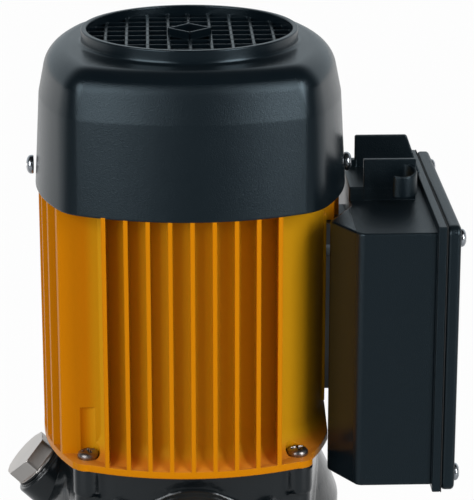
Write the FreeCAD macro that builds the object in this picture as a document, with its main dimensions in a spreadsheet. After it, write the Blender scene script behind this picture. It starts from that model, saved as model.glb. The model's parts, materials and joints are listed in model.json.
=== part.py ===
import FreeCAD, Part
import os
import re
import Sketcher
from FreeCAD import Placement, Rotation, Vector

# A close-coupled multistage pump that stands upright on its base, in millimetres. The shaft is the
# Z axis, the underside of the foot is z = 0, and the discharge port faces -Y.

# Driving dimensions

SIZES = {
    "Foot and base": {
        "foot_half": 75, "foot_thick": 12, "foot_corner": 22,
        "foot_hole_pitch": 120, "foot_hole_radius": 5.5, "foot_pad_radius": 12, "foot_pad_rise": 1.5,
        "base_height": 66, "bowl_radius": 62, "bowl_floor": 14, "cavity_radius": 45,
        "ring_radius": 69.5, "ring_depth": 16, "ring_slope": 6,
        "suction_level": 37, "suction_reach": 84, "suction_boss_radius": 28,
        "suction_thread_radius": 19.48,
        "drain_level": 28, "drain_reach": 70, "drain_boss_radius": 11, "drain_hole_radius": 5.7,
    },
    "Sleeve and tie rods": {
        "seat_depth": 6, "sleeve_radius": 60, "sleeve_wall": 1.5, "seat_gap": 0.3,
        "cord_radius": 1.1, "cord_gap": 0.15, "cord_rise": 3.2,
        "rod_across": 36, "rod_out": 62, "rod_radius": 4, "rod_gap": 0.3, "rod_grip": 24,
        "rod_tail": 2, "lug_radius": 9, "lug_depth": 24,
        "nut_across": 13, "nut_thick": 6.5, "washer_radius": 8, "washer_thick": 1.6,
    },
    "Stages": {
        "stage_count": 4, "stage_pitch": 30, "bowl_gap": 0.3, "bowl_wall": 1.6, "bowl_plate": 2,
        "eye_radius": 21, "eye_gap": 0.4, "guide_level": 16, "guide_radius": 50,
        "guide_vane_count": 8, "guide_vane_thick": 2,
        "impeller_radius": 44, "impeller_shroud": 1.6, "impeller_width": 10, "impeller_lift": 3.5,
        "hub_radius": 12, "vane_count": 6, "vane_thick": 1.8, "vane_bow_radius": 31.2,
        "vane_tip_cos": 0.6,
        "spacer_radius": 10, "bush_radius": 14, "running_gap": 0.08, "shaft_nut_thick": 8,
        "shaft_nut_across": 22,
    },
    "Pump head": {
        "head_height": 72, "head_plate": 10, "head_half": 59.3, "head_face_radius": 200,
        "head_corner": 8, "head_block_depth": 45, "bell_top_radius": 57, "bell_top_drop": 6,
        "bell_mid_radius": 65.5, "bell_mid_drop": 24.4, "bell_low_drop": 35,
        "discharge_drop": 41, "discharge_reach": 78, "discharge_boss_radius": 28.4,
        "discharge_root_radius": 30, "discharge_root_back": 14, "discharge_thread_radius": 15.15,
        "boss_drop": 17.7, "head_cavity_radius": 46, "screw_lug_radius": 7, "screw_lug_depth": 14,
        "filler_tilt": 44, "filler_face_across": 72.1, "filler_face_drop": 21.1,
        "filler_boss_radius": 13.2, "filler_boss_length": 30, "filler_hole_radius": 8.4,
        "filler_hole_length": 46,
    },
    "Plugs": {
        "thread_gap": 0.3, "filler_hex_across": 22, "filler_hex_thick": 7.7, "hex_chamfer": 1.2,
        "hex_face_ratio": 0.95,
        "filler_collar_radius": 12.6, "filler_collar_thick": 1.2, "filler_shank": 13,
        "seal_ring_thick": 1, "drain_hex_across": 14, "drain_hex_thick": 5,
        "drain_collar_radius": 9, "drain_shank": 10, "plug_dimple_radius": 4,
    },
    "Shaft and seal": {
        "pump_shaft_radius": 7, "seal_shaft_radius": 8, "seal_shaft_drop": 38,
        "shaft_hole_radius": 12, "seat_ring_radius": 17,
        "seal_ring_radius": 14, "seal_ring_length": 7, "seal_face": 0.3,
        "seal_spring_wire": 1, "seal_spring_turns": 4,
        "slinger_radius": 17, "slinger_well_radius": 20, "slinger_well_depth": 5,
        "slinger_thick": 3, "slinger_waist": 12, "slinger_drop": 1,
        "part_gap": 0.3, "fit_gap": 0.03, "cut_over": 1,
    },
    "Motor housing": {
        "flange_half": 70, "face_radius": 112, "flange_thick": 3.2, "flange_corner": 15,
        "housing_height": 119.4, "tube_radius": 61.8, "tube_bore": 57, "floor_plate": 8,
        "fin_top_half": 70, "fin_count": 9, "fin_pitch": 9.6, "fin_thick": 2, "fin_root": 48,
        "side_pitch": 11.25, "side_root": 38, "fin_side": 68.8, "flange_side": 65.5,
        "flange_flat": 62.6,
        "scoop_height": 11, "scoop_reach": 70,
        "screw_across": 47.2, "screw_out": 50.2, "lug_out": 53.2, "flange_lug_radius": 6.6,
        "screw_radius": 2.5, "screw_tap_radius": 2.2, "screw_grip": 10, "tap_over": 1,
        "screw_head_radius": 4.8, "screw_head_thick": 3.6, "pan_round": 0.7, "spot_radius": 5.4,
        "pad_half": 12, "pad_root": 52, "pad_face": 62, "pad_foot": 14, "pad_top": 104,
        "bracket_foot": 100.5, "bracket_low_x": 65.8, "bracket_high_x": 68.5,
        "bracket_front": 8, "bracket_back": 20,
    },
    "Motor inside": {
        "bearing_bore": 8.5, "bearing_radius": 20, "bearing_width": 12, "bearing_lift": 2.5,
        "bearing_hub_radius": 26, "race_wall": 3.2, "ball_count": 8,
        "upper_bore": 7.5, "upper_radius": 17.5, "upper_width": 11, "upper_lift": 108.4,
        "upper_hub_radius": 22, "upper_ball_count": 8, "spring_thick": 0.8,
        "core_lift": 32, "core_length": 60, "core_bore": 32.3, "air_gap": 0.4,
        "rotor_shaft_radius": 11, "end_ring_length": 6, "end_ring_inner": 20,
        "winding_inner": 34, "winding_outer": 54, "winding_length": 14, "winding_round": 4,
        "shield_plate": 4.6, "shield_radius": 66, "shield_lug_half": 7, "shield_lug_rise": 13,
        "shield_spigot": 4, "shield_way_radius": 8, "shield_screw_radius": 2,
        "shield_screw_circle": 59.4, "shield_screw_head": 4, "shield_screw_thick": 2.4,
    },
    "Fan and cowl": {
        "cowl_lift": 0.3, "cowl_half": 71, "cowl_crease_half": 67.9, "cowl_top_half": 61.8,
        "cowl_face_radius": 110, "cowl_corner_radius": 77.6, "cowl_crease": 41.6,
        "cowl_height": 62.9, "cowl_shoulder": 22, "cowl_wall": 2.2,
        "rim_radius": 49.2, "rim_inner": 46.6, "rim_height": 6.6, "rim_step": 1.4,
        "grid_pitch": 9.4, "grid_count": 9, "grid_bar": 1.7, "grid_bar_thin": 0.9,
        "grid_depth": 2.4, "grid_drop": 3.8,
        "grid_hub_half": 7, "grid_hub_wall": 1, "grid_hub_rise": 3.4, "grid_hub_drop": 1.4,
        "cowl_screw_lift": 6.4, "cowl_screw_head": 4.3, "cowl_screw_thick": 3.2,
        "cowl_screw_radius": 2, "cowl_screw_grip": 8.2,
        "fan_radius": 56, "fan_disc_radius": 34, "fan_disc_thick": 2, "fan_blade_count": 8,
        "fan_blade_thick": 2, "fan_blade_height": 26, "fan_hub_radius": 11, "fan_root": 1,
        "fan_lift": 17,
        "fan_shaft_radius": 6, "clip_thick": 1.2, "clip_radius": 8.5, "shaft_tip": 2.5,
    },
    "Terminal box": {
        "box_half": 62, "box_front_x": 73.3, "box_wing_x": 60.8, "box_wing_y": 41.8,
        "box_back_x": 72.2, "box_back_y": 19.2, "box_rim_x": 106.8, "box_drop": 8,
        "box_height": 118.5, "box_wall": 3, "deck_long": 30.4, "deck_front": 10.7,
        "deck_back": 27.4, "deck_rise": 6.2,
        "rim_thick": 3.8, "rim_over": 2, "rim_drop": 2.7, "rim_rise": 3.2, "lid_gasket": 0.4,
        "lid_thick": 5.9, "lid_crown": 1.8, "lid_corner": 4,
        "lid_screw_y": 57, "lid_screw_inset": 7, "lid_screw_head": 4, "lid_screw_thick": 2.8,
        "lid_screw_radius": 1.9, "lid_pillar_radius": 4.5, "lid_screw_grip": 12, "pillar_over": 4,
        "adapter_x": 69, "adapter_half": 18.8, "adapter_foot": 12, "adapter_top": 100,
        "neck_foot": 20, "neck_top": 85, "arm_foot": 90,
        "wall_x": 78.7, "wall_long": 23.8, "wall_thick": 2.4, "wall_rise": 19.2,
        "hood_x": 77.5, "hood_long": 24.2, "hood_slope": 7.7, "hood_y": 23.4, "hood_thick": 2.4,
        "hood_rise": 21.3, "curb_x": 74.7, "curb_long": 3.2, "curb_rise": 3.5,
        "clip_inner": 5.7, "clip_wall": 1.3, "clip_across": 95.3, "clip_tall": 9.5,
        "clip_slant": 2.7, "clip_lift": 4.5,
        "gland_level": 24, "gland_x": 92, "gland_hole_radius": 8.2,
        "gland_radius": 11, "gland_length": 12, "gland_bore": 4.5, "gland_nut_across": 22,
        "gland_nut_thick": 8, "block_long": 46, "block_tall": 22, "block_deep": 14,
        "block_level": 62, "cap_radius": 14, "cap_length": 62,
    },
}

# Derived levels, each a height above the floor

LEVELS = {
    "stack_foot": "base_height - seat_depth",
    "stack_top": "stack_foot + stage_count * stage_pitch",
    "head_foot": "stack_top - seat_depth",
    "flange": "head_foot + head_height",
    "housing_top": "flange + housing_height",
    "cowl_foot": "housing_top + cowl_lift",
    "cowl_top": "cowl_foot + cowl_height",
    "box_foot": "flange - box_drop",
    "box_top": "box_foot + box_height",
    "bearing_foot": "flange + bearing_lift",
    "bearing_top": "bearing_foot + bearing_width",
    "core_foot": "flange + core_lift",
    "core_top": "core_foot + core_length",
    "upper_foot": "flange + upper_lift",
    "upper_top": "upper_foot + upper_width",
    "fan_foot": "housing_top + fan_lift",
    "discharge_level": "flange - discharge_drop",
    "filler_level": "flange - filler_face_drop",
    "gland_z": "box_foot + gland_level",
}

CELLS = {name: "Sizes." + name for group in SIZES.values() for name in group}
CELLS.update({name: "Levels." + name for name in LEVELS})

doc = FreeCAD.newDocument("multistage_pump")
sizes = doc.addObject("Spreadsheet::Sheet", "Sizes")
levels = doc.addObject("Spreadsheet::Sheet", "Levels")
nodes = {}


def ref(text):
    """The expression with each named size written as its cell."""
    return re.sub(r"\b[a-z][a-z_0-9]*", lambda word: CELLS.get(word.group(), word.group()), str(text))


def write_sheets():
    """Put every driving dimension in its cell, and every derived level in its own."""
    row = 1
    for heading, group in SIZES.items():
        sizes.set(f"A{row}", heading)
        for name, number in group.items():
            row += 1
            sizes.set(f"A{row}", name.replace("_", " "))
            sizes.set(f"B{row}", str(number))
            sizes.setAlias(f"B{row}", name)
        row += 1
    for row, (name, text) in enumerate(LEVELS.items(), 1):
        levels.set(f"A{row}", name.replace("_", " "))
        levels.set(f"B{row}", "=" + ref(text))
        levels.setAlias(f"B{row}", name)
    doc.recompute()


def value(text):
    """The number that an expression of named sizes gives."""
    return float(levels.evalExpression(ref(text)))


def bind(item, field, text):
    """Drive one property from the sheets."""
    item.setExpression(field, ref(text))


def place(item, at, axis=(0, 0, 1), turn=0):
    """Point the piece's own Z along axis, turned about it, with its origin at three expressions."""
    facing = Rotation(Vector(0, 0, 1), Vector(*axis))
    item.Placement = Placement(Vector(), facing * Rotation(Vector(0, 0, 1), turn))
    for letter, text in zip("xyz", at):
        bind(item, "Placement.Base." + letter, text)
    return item


def keep(label, item):
    """Name a finished piece; it is written to a file of that name."""
    item.Label = label
    nodes[label] = item
    return item


def cylinder(name, radius, height, at=(0, 0, 0), axis=(0, 0, 1)):
    """A cylinder whose base centre is at three expressions and whose axis points along axis."""
    item = doc.addObject("Part::Cylinder", name)
    bind(item, "Radius", radius)
    bind(item, "Height", height)
    return place(item, at, axis)


def box(name, long, wide, tall, at):
    """A box whose lowest corner is at three expressions."""
    item = doc.addObject("Part::Box", name)
    bind(item, "Length", long)
    bind(item, "Width", wide)
    bind(item, "Height", tall)
    return place(item, at)


def hexagon(name, across_flats, height, at=(0, 0, 0), axis=(0, 0, 1), turn=0):
    """A hexagonal block of a width across its flats."""
    item = doc.addObject("Part::Prism", name)
    item.Polygon = 6
    bind(item, "Circumradius", f"({across_flats}) / sqrt(3)")
    bind(item, "Height", height)
    return place(item, at, axis, turn)


def fuse(name, pieces):
    """Several pieces joined into one."""
    item = doc.addObject("Part::MultiFuse", name)
    item.Shapes = pieces
    item.Refine = True
    return item


def common(name, pieces):
    """What several pieces share."""
    item = doc.addObject("Part::MultiCommon", name)
    item.Shapes = pieces
    item.Refine = True
    return item


def cut(name, base, tools):
    """A piece with other pieces taken away."""
    item = doc.addObject("Part::Cut", name)
    item.Base = base
    item.Tool = tools[0] if len(tools) == 1 else fuse(name + "_tools", tools)
    item.Refine = True
    return item


def group(name, pieces):
    """Separate solids of one kind, kept as one piece."""
    item = doc.addObject("Part::Compound", name)
    item.Links = pieces
    return item


def origin_part(body, role):
    """The plane or axis of a body's origin that has a role."""
    return next(item for item in body.Origin.OriginFeatures if item.Role == role)


def new_body(name):
    """An empty body."""
    return doc.addObject("PartDesign::Body", name)


def new_sketch(body, name, plane, level=None):
    """A sketch on one of the body's origin planes, lifted along the plane's normal."""
    sketch = body.newObject("Sketcher::SketchObject", name)
    sketch.AttachmentSupport = [(origin_part(body, plane), "")]
    sketch.MapMode = "FlatFace"
    if level is not None:
        bind(sketch, "AttachmentOffset.Base.z", level)
    return sketch


def pin(sketch, element, point, across, up):
    """Hold one point of a sketch at two expressions."""
    for kind, text in (("DistanceX", across), ("DistanceY", up)):
        number = sketch.addConstraint(Sketcher.Constraint(kind, element, point, value(text)))
        sketch.setExpression(f"Constraints[{number}]", ref(text))


def outline(body, name, corners, plane="XZ_Plane", level=None, bends=None):
    """A closed outline through corners. A side named in bends is an arc of that signed radius."""
    bends = bends or {}
    sketch = new_sketch(body, name, plane, level)
    spots = [Vector(value(across), value(up), 0) for across, up in corners]
    count = len(spots)
    for side, start in enumerate(spots):
        end = spots[(side + 1) % count]
        if side in bends:
            sketch.addGeometry(bend(start, end, value(bends[side])))
        else:
            sketch.addGeometry(Part.LineSegment(start, end))
    for side in range(count):
        after = (side + 1) % count
        last = end_index(side, bends)
        first = start_index(after, bends)
        sketch.addConstraint(Sketcher.Constraint("Coincident", side, last, after, first))
        pin(sketch, side, start_index(side, bends), *corners[side])
    for side, radius in bends.items():
        number = sketch.addConstraint(Sketcher.Constraint("Radius", side, abs(value(radius))))
        sketch.setExpression(f"Constraints[{number}]", ref(f"abs({radius})"))
    return sketch


def start_index(side, bends):
    """An arc drawn clockwise is stored the other way round, so its ends swap."""
    return 2 if side in bends and value(bends[side]) < 0 else 1


def end_index(side, bends):
    """The point at which a side ends, counted as its start is."""
    return 3 - start_index(side, bends)


def bend(start, end, radius):
    """The shorter arc from start to end, bulging right of the way for a positive radius."""
    way = end - start
    half = way.Length / 2
    rise = abs(radius) - (radius * radius - half * half) ** 0.5
    side = Vector(way.y, -way.x, 0).normalize() * (rise if radius > 0 else -rise)
    return Part.Arc(start, (start + end) / 2 + side, end)


def turned(name, corners, bends=None):
    """A body turned about the shaft's axis from an outline of radius and height."""
    body = new_body(name)
    sketch = outline(body, name + "_outline", corners, bends=bends)
    turn = body.newObject("PartDesign::Revolution", name + "_turn")
    turn.Profile = (sketch, [""])
    turn.ReferenceAxis = (sketch, ["V_Axis"])
    turn.Angle = 360
    return body


def ring(name, inner, outer, foot, top):
    """A plain ring about the shaft's axis."""
    return turned(name, [(inner, foot), (outer, foot), (outer, top), (inner, top)])


def padded(name, sketch_plane, corners, level, length, bends=None):
    """A body pushed out of an outline along its plane's normal."""
    body = new_body(name)
    sketch = outline(body, name + "_outline", corners, sketch_plane, level, bends)
    pad = body.newObject("PartDesign::Pad", name + "_pad")
    pad.Profile = (sketch, [""])
    bind(pad, "Length", length)
    return body


def round_edges(body, radius, wanted):
    """Fillet the body's edges for which wanted(edge) holds."""
    doc.recompute()
    tip = body.Tip
    names = [f"Edge{number}" for number, edge in enumerate(tip.Shape.Edges, 1) if wanted(edge)]
    fillet = body.newObject("PartDesign::Fillet", body.Name + f"_round{len(body.Group)}")
    fillet.Base = (tip, names)
    bind(fillet, "Radius", radius)
    body.Tip = fillet
    return body


def upright(edge):
    """Whether an edge runs along Z."""
    return edge.Curve.TypeId == "Part::GeomLine" and abs(edge.tangentAt(edge.FirstParameter).z) > 0.99


def four_arc_corner(half, radius):
    """Where two neighbouring arcs of a square of arcs meet, as one expression."""
    return f"(sqrt(2 * ({radius})^2 - (({radius}) - ({half}))^2) - (({radius}) - ({half}))) / 2"


def four_arc_sketch(body, name, half, radius, level):
    """A square of four outward arcs, square to the axes and half wide from its middle."""
    corner = four_arc_corner(half, radius)
    corners = [(f"-({corner})", f"-({corner})"), (corner, f"-({corner})"), (corner, corner),
               (f"-({corner})", corner)]
    return outline(body, name, corners, "XY_Plane", level, {side: radius for side in range(4)})


def four_arc_loft(name, sections):
    """A body through squares of arcs, each given as half width, arc radius and height."""
    body = new_body(name)
    sketches = []
    for number, (half, radius, level) in enumerate(sections):
        sketches.append(four_arc_sketch(body, f"{name}_section{number}", half, radius, level))
    loft = body.newObject("PartDesign::AdditiveLoft", name + "_loft")
    loft.Profile = (sketches[0], [""])
    loft.Sections = [(sketch, [""]) for sketch in sketches[1:]]
    loft.Ruled = True
    return body


def four_arc_pad(name, half, radius, level, length):
    """A straight-sided block over a square of arcs."""
    body = new_body(name)
    sketch = four_arc_sketch(body, name + "_section", half, radius, level)
    pad = body.newObject("PartDesign::Pad", name + "_pad")
    pad.Profile = (sketch, [""])
    bind(pad, "Length", length)
    return body


def corners_of(across, out):
    """The four places at plus and minus two expressions."""
    return [(x, y) for x in (f"-({across})", across) for y in (f"-({out})", out)]


# Base casting, sleeve and tie rods

def make_base():
    """The base casting: a foot plate, a bowl with the suction boss, and a ring for the sleeve."""
    foot = padded("base_foot", "XY_Plane",
                  [("-foot_half", "-foot_half"), ("foot_half", "-foot_half"),
                   ("foot_half", "foot_half"), ("-foot_half", "foot_half")], "0", "foot_thick")
    round_edges(foot, "foot_corner", upright)
    bowl = turned("base_bowl", [
        (0, 0), ("bowl_radius", 0), ("bowl_radius", "base_height - ring_depth - ring_slope"),
        ("ring_radius", "base_height - ring_depth"), ("ring_radius", "base_height"),
        (0, "base_height")])
    solids = [foot, bowl,
              cylinder("suction_boss", "suction_boss_radius", "suction_reach",
                       (0, 0, "suction_level"), (0, 1, 0)),
              cylinder("drain_boss", "drain_boss_radius", "drain_reach",
                       (0, 0, "drain_level"), (0, -1, 0))]
    holes = [cylinder("base_cavity", "cavity_radius", "base_height", (0, 0, "bowl_floor")),
             cylinder("base_seat", "sleeve_radius + seat_gap", "base_height", (0, 0, "stack_foot")),
             cylinder("suction_bore", "suction_thread_radius", "suction_reach",
                      (0, 0, "suction_level"), (0, 1, 0)),
             cylinder("drain_bore", "drain_hole_radius", "drain_reach",
                      (0, 0, "drain_level"), (0, -1, 0)),
             cord_groove("base_groove", "stack_foot + cord_rise")]
    for number, (x, y) in enumerate(corners_of("rod_across", "rod_out")):
        solids.append(cylinder(f"base_lug{number}", "lug_radius", "lug_depth",
                               (x, y, "base_height - lug_depth")))
        holes.append(cylinder(f"base_rod_hole{number}", "rod_radius + rod_gap", "base_height",
                              (x, y, "foot_thick")))
    half_pitch = "foot_hole_pitch / 2"
    for number, (x, y) in enumerate(corners_of(half_pitch, half_pitch)):
        solids.append(cylinder(f"foot_pad{number}", "foot_pad_radius", "foot_thick + foot_pad_rise",
                               (x, y, 0)))
        holes.append(cylinder(f"foot_hole{number}", "foot_hole_radius",
                              "foot_thick + 2 * foot_pad_rise", (x, y, 0)))
    keep("base_casting", cut("base_casting", fuse("base_solid", solids), holes))


def cord_groove(name, level):
    """The groove round the sleeve that holds an O-ring, centred at a height."""
    half = "cord_radius + cord_gap"
    return ring(name, "sleeve_radius", f"sleeve_radius + seat_gap + 2 * ({half})",
                f"{level} - ({half})", f"{level} + ({half})")


def make_cord(label, level):
    """An O-ring round the sleeve at a height."""
    item = doc.addObject("Part::Torus", label)
    bind(item, "Radius1", "sleeve_radius + seat_gap + cord_radius")
    bind(item, "Radius2", "cord_radius")
    keep(label, place(item, (0, 0, level)))


def make_sleeve():
    """The outer sleeve and the two O-rings that seal its ends."""
    keep("outer_sleeve", ring("outer_sleeve", "sleeve_radius - sleeve_wall", "sleeve_radius",
                              "stack_foot", "stack_top"))
    make_cord("base_o_ring", "stack_foot + cord_rise")
    make_cord("head_o_ring", "stack_top - cord_rise")


def make_tie_rods():
    """The four tie rods that hold base and head together, with their nuts and washers."""
    nut_top = "base_height - lug_depth - washer_thick"
    rods, nuts, washers = [], [], []
    for number, (x, y) in enumerate(corners_of("rod_across", "rod_out")):
        rods.append(cylinder(f"rod{number}", "rod_radius",
                             f"head_foot + rod_grip - ({nut_top}) + nut_thick + rod_tail",
                             (x, y, f"{nut_top} - nut_thick - rod_tail")))
        hole = cylinder(f"nut_hole{number}", "rod_radius + fit_gap", "2 * nut_thick",
                        (x, y, f"{nut_top} - 2 * nut_thick"))
        blank = hexagon(f"nut_blank{number}", "nut_across", "nut_thick",
                        (x, y, f"{nut_top} - nut_thick"))
        nuts.append(cut(f"nut{number}", blank, [hole]))
        disc = cylinder(f"washer_disc{number}", "washer_radius", "washer_thick", (x, y, nut_top))
        gap = cylinder(f"washer_hole{number}", "rod_radius + rod_gap", "washer_thick",
                       (x, y, nut_top))
        washers.append(cut(f"washer{number}", disc, [gap]))
    keep("tie_rods", group("tie_rods", rods))
    keep("tie_nuts", group("tie_nuts", nuts))
    keep("tie_washers", group("tie_washers", washers))


# Stages: bowls with guide vanes, closed impellers, spacers

def stage_foot(number):
    """The height at which a stage begins, counted from 0."""
    return f"stack_foot + {number} * stage_pitch"


def make_bowl(number):
    """One stage's bowl: a cup with its guide plate and guide vanes."""
    foot = stage_foot(number)
    outer = "sleeve_radius - sleeve_wall - bowl_gap"
    plate = f"{foot} + guide_level"
    cup = turned(f"cup{number}", [
        ("eye_radius + eye_gap", foot), (outer, foot), (outer, f"{foot} + stage_pitch"),
        (f"{outer} - bowl_wall", f"{foot} + stage_pitch"),
        (f"{outer} - bowl_wall", f"{foot} + bowl_plate"),
        ("eye_radius + eye_gap", f"{foot} + bowl_plate")])
    guide = ring(f"guide{number}", "bush_radius", "guide_radius", plate, f"{plate} + bowl_plate")
    vanes = padded(f"guide_vanes{number}", "XY_Plane",
                   [("bush_radius + bowl_plate", "-guide_vane_thick / 2"),
                    (f"{outer} - bowl_wall / 2", "-guide_vane_thick / 2"),
                    (f"{outer} - bowl_wall / 2", "guide_vane_thick / 2"),
                    ("bush_radius + bowl_plate", "guide_vane_thick / 2")],
                   f"{plate} + bowl_plate / 2", "stage_pitch - guide_level - bowl_plate")
    repeat_round(vanes, "guide_vane_count")
    keep(f"stage_bowl_{number + 1}", fuse(f"stage_bowl_{number + 1}", [cup, guide, vanes]))


def repeat_round(body, count):
    """Repeat the body's last feature round the shaft's axis."""
    feature = body.Tip
    pattern = body.newObject("PartDesign::PolarPattern", body.Name + "_pattern")
    pattern.Originals = [feature]
    pattern.Axis = (origin_part(body, "Z_Axis"), [""])
    pattern.Angle = 360
    bind(pattern, "Occurrences", count)
    body.Tip = pattern
    return body


def make_impeller(number):
    """One closed impeller: a back shroud with its hub, a front shroud with its eye, and vanes."""
    foot = f"{stage_foot(number)} + impeller_lift"
    top = f"{foot} + impeller_width"
    name = f"impeller_{number + 1}"
    bore = "pump_shaft_radius + fit_gap"
    back = turned(f"{name}_back", [
        (bore, foot), ("hub_radius", foot), ("hub_radius", f"{top} - impeller_shroud"),
        ("impeller_radius", f"{top} - impeller_shroud"), ("impeller_radius", top), (bore, top)])
    front = turned(f"{name}_front", [
        ("eye_radius - bowl_plate", f"{stage_foot(number)}"), ("eye_radius", f"{stage_foot(number)}"),
        ("eye_radius", foot), ("impeller_radius", f"{foot} + impeller_shroud"),
        ("impeller_radius", f"{foot} + 2 * impeller_shroud"),
        ("eye_radius - bowl_plate", f"{foot} + impeller_shroud")])
    tip_x = "impeller_radius * vane_tip_cos"
    tip_y = "(impeller_radius - impeller_shroud / 2) * sqrt(1 - vane_tip_cos ^ 2)"
    vane = padded(f"{name}_vane", "XY_Plane",
                  [("hub_radius - fit_gap", 0), (tip_x, tip_y),
                   (f"{tip_x} + vane_thick", f"{tip_y} - vane_thick"),
                   ("hub_radius + vane_thick", 0)],
                  f"{foot} + impeller_shroud", "impeller_width - 1.5 * impeller_shroud",
                  {0: "vane_bow_radius", 2: "-vane_bow_radius"})
    repeat_round(vane, "vane_count")
    keep(name, fuse(name, [back, front, vane]))


def make_spacers():
    """Sleeves on the shaft between the impeller hubs, and one up to the seal."""
    pieces = []
    last = int(value("stage_count")) - 1
    for number in range(last + 1):
        foot = f"{stage_foot(number)} + impeller_lift + impeller_width"
        top = f"{stage_foot(number + 1)} + impeller_lift" if number < last else \
            "flange - seal_shaft_drop"
        pieces.append(ring(f"spacer{number}", "pump_shaft_radius + fit_gap", "spacer_radius",
                           foot, top))
    keep("shaft_spacers", group("shaft_spacers", pieces))
    plate = f"{stage_foot(1)} + guide_level"
    keep("guide_bush", ring("guide_bush", "spacer_radius + running_gap", "bush_radius - fit_gap",
                            plate, f"{plate} + bowl_plate"))


def make_shaft():
    """The shaft, stepped from the pump end to the fan end."""
    tail = "stack_foot + impeller_lift - shaft_nut_thick - shaft_tip"
    keep("shaft", turned("shaft", [
        (0, tail), ("pump_shaft_radius", tail), ("pump_shaft_radius", "flange - seal_shaft_drop"),
        ("seal_shaft_radius", "flange - seal_shaft_drop"), ("seal_shaft_radius", "bearing_foot"),
        ("bearing_bore", "bearing_foot"), ("bearing_bore", "bearing_top"),
        ("rotor_shaft_radius", "bearing_top"), ("rotor_shaft_radius", "upper_foot"),
        ("upper_bore", "upper_foot"), ("upper_bore", "upper_top"),
        ("fan_shaft_radius", "upper_top"),
        ("fan_shaft_radius", "fan_foot + fan_blade_height / 2 + clip_thick + shaft_tip"),
        (0, "fan_foot + fan_blade_height / 2 + clip_thick + shaft_tip")]))
    nut = hexagon("shaft_nut_blank", "shaft_nut_across", "shaft_nut_thick",
                  (0, 0, "stack_foot + impeller_lift - shaft_nut_thick"))
    hole = cylinder("shaft_nut_hole", "pump_shaft_radius + fit_gap", "2 * shaft_nut_thick",
                    (0, 0, "stack_foot + impeller_lift - 2 * shaft_nut_thick"))
    keep("shaft_nut", cut("shaft_nut", nut, [hole]))


# Pump head, seal and plugs

def filler_way():
    """The unit way out of the filler hole, up and to the left."""
    return tuple(Rotation(Vector(0, 1, 0), value("filler_tilt")).multVec(Vector(-1, 0, 0)))


def filler_point(out):
    """A point of the filler's axis, out from the face of its boss by an expression."""
    return (f"-filler_face_across - ({out}) * cos(filler_tilt * 1 deg)", 0,
            f"filler_level + ({out}) * sin(filler_tilt * 1 deg)")


def make_head():
    """The pump head: a square top on a round bell, with the discharge and filler bosses."""
    block = four_arc_pad("head_block", "head_half", "head_face_radius",
                         "flange - head_block_depth", "head_block_depth")
    round_edges(block, "head_corner", upright)
    bell = turned("head_bell", [
        (0, "head_foot"), ("ring_radius", "head_foot"), ("ring_radius", "flange - bell_low_drop"),
        ("bell_mid_radius", "flange - bell_mid_drop"),
        ("bell_top_radius", "flange - bell_top_drop"), (0, "flange - bell_top_drop")])
    back_y = "-(discharge_reach - discharge_root_back)"
    solids = [block, bell,
              cylinder("discharge_boss", "discharge_boss_radius", "discharge_reach",
                       (0, 0, "discharge_level"), (0, -1, 0)),
              cylinder("discharge_root", "discharge_root_radius", f"-({back_y})",
                       (0, 0, "discharge_level"), (0, -1, 0)),
              cylinder("filler_boss", "filler_boss_radius", "filler_boss_length",
                       filler_point("-filler_boss_length"), filler_way())]
    holes = [cylinder("head_cavity", "head_cavity_radius", "head_height - head_plate",
                      (0, 0, "head_foot")),
             cylinder("head_seat", "sleeve_radius + seat_gap", "seat_depth", (0, 0, "head_foot")),
             cylinder("discharge_bore", "discharge_thread_radius", "discharge_reach",
                      (0, 0, "discharge_level"), (0, -1, 0)),
             cylinder("filler_bore", "filler_hole_radius", "filler_hole_length",
                      filler_point("-filler_hole_length"), filler_way()),
             cylinder("shaft_hole", "shaft_hole_radius", "head_height", (0, 0, "head_foot")),
             cylinder("seal_seat_well", "seat_ring_radius", "head_plate / 2",
                      (0, 0, "flange - head_plate")),
             cylinder("slinger_well", "slinger_well_radius", "slinger_well_depth",
                      (0, 0, "flange - slinger_well_depth")),
             cord_groove("head_groove", "stack_top - cord_rise")]
    for number, (x, y) in enumerate(corners_of("rod_across", "rod_out")):
        dome_level = "flange - boss_drop - lug_radius"
        solids.append(cylinder(f"head_lug{number}", "lug_radius", f"{dome_level} - head_foot",
                               (x, y, "head_foot")))
        dome = doc.addObject("Part::Sphere", f"head_dome{number}")
        bind(dome, "Radius", "lug_radius")
        solids.append(place(dome, (x, y, dome_level)))
        holes.append(cylinder(f"head_rod_hole{number}", "rod_radius + fit_gap", "rod_grip + rod_tail",
                              (x, y, "head_foot")))
    for number, (x, y) in enumerate(corners_of("screw_across", "screw_out")):
        solids.append(cylinder(f"screw_lug{number}", "screw_lug_radius", "screw_lug_depth",
                               (x, y, "flange - screw_lug_depth")))
        holes.append(cylinder(f"screw_tap{number}", "screw_tap_radius", "screw_grip + tap_over",
                              (x, y, "flange - screw_grip - tap_over")))
    keep("pump_head", cut("pump_head", fuse("head_solid", solids), holes))


def make_plug(label, way, point, hex_size, collar_radius, shank_radius, shank):
    """A hex plug on its washer. point gives a place on its axis out from the boss face."""
    across, thick, collar = hex_size
    under = "seal_ring_thick"
    head = f"{under} + ({collar})"
    pieces = [cylinder(label + "_shank", shank_radius, f"{shank} + {under}",
                       point(f"-({shank})"), way),
              cylinder(label + "_collar", collar_radius, collar, point(under), way),
              chamfered_hexagon(label + "_hex", across, thick, point(head), way)]
    dimple = cylinder(label + "_dimple", "plug_dimple_radius", "seal_ring_thick",
                      point(f"{head} + ({thick}) - seal_ring_thick / 2"), way)
    keep(label, cut(label, fuse(label + "_solid", pieces), [dimple]))
    disc = cylinder(label + "_washer_disc", collar_radius, under, point("0"), way)
    hole = cylinder(label + "_washer_hole", f"{shank_radius} + thread_gap", f"3 * {under}",
                    point(f"-{under}"), way)
    keep(label + "_washer", cut(label + "_washer", disc, [hole]))


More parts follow.
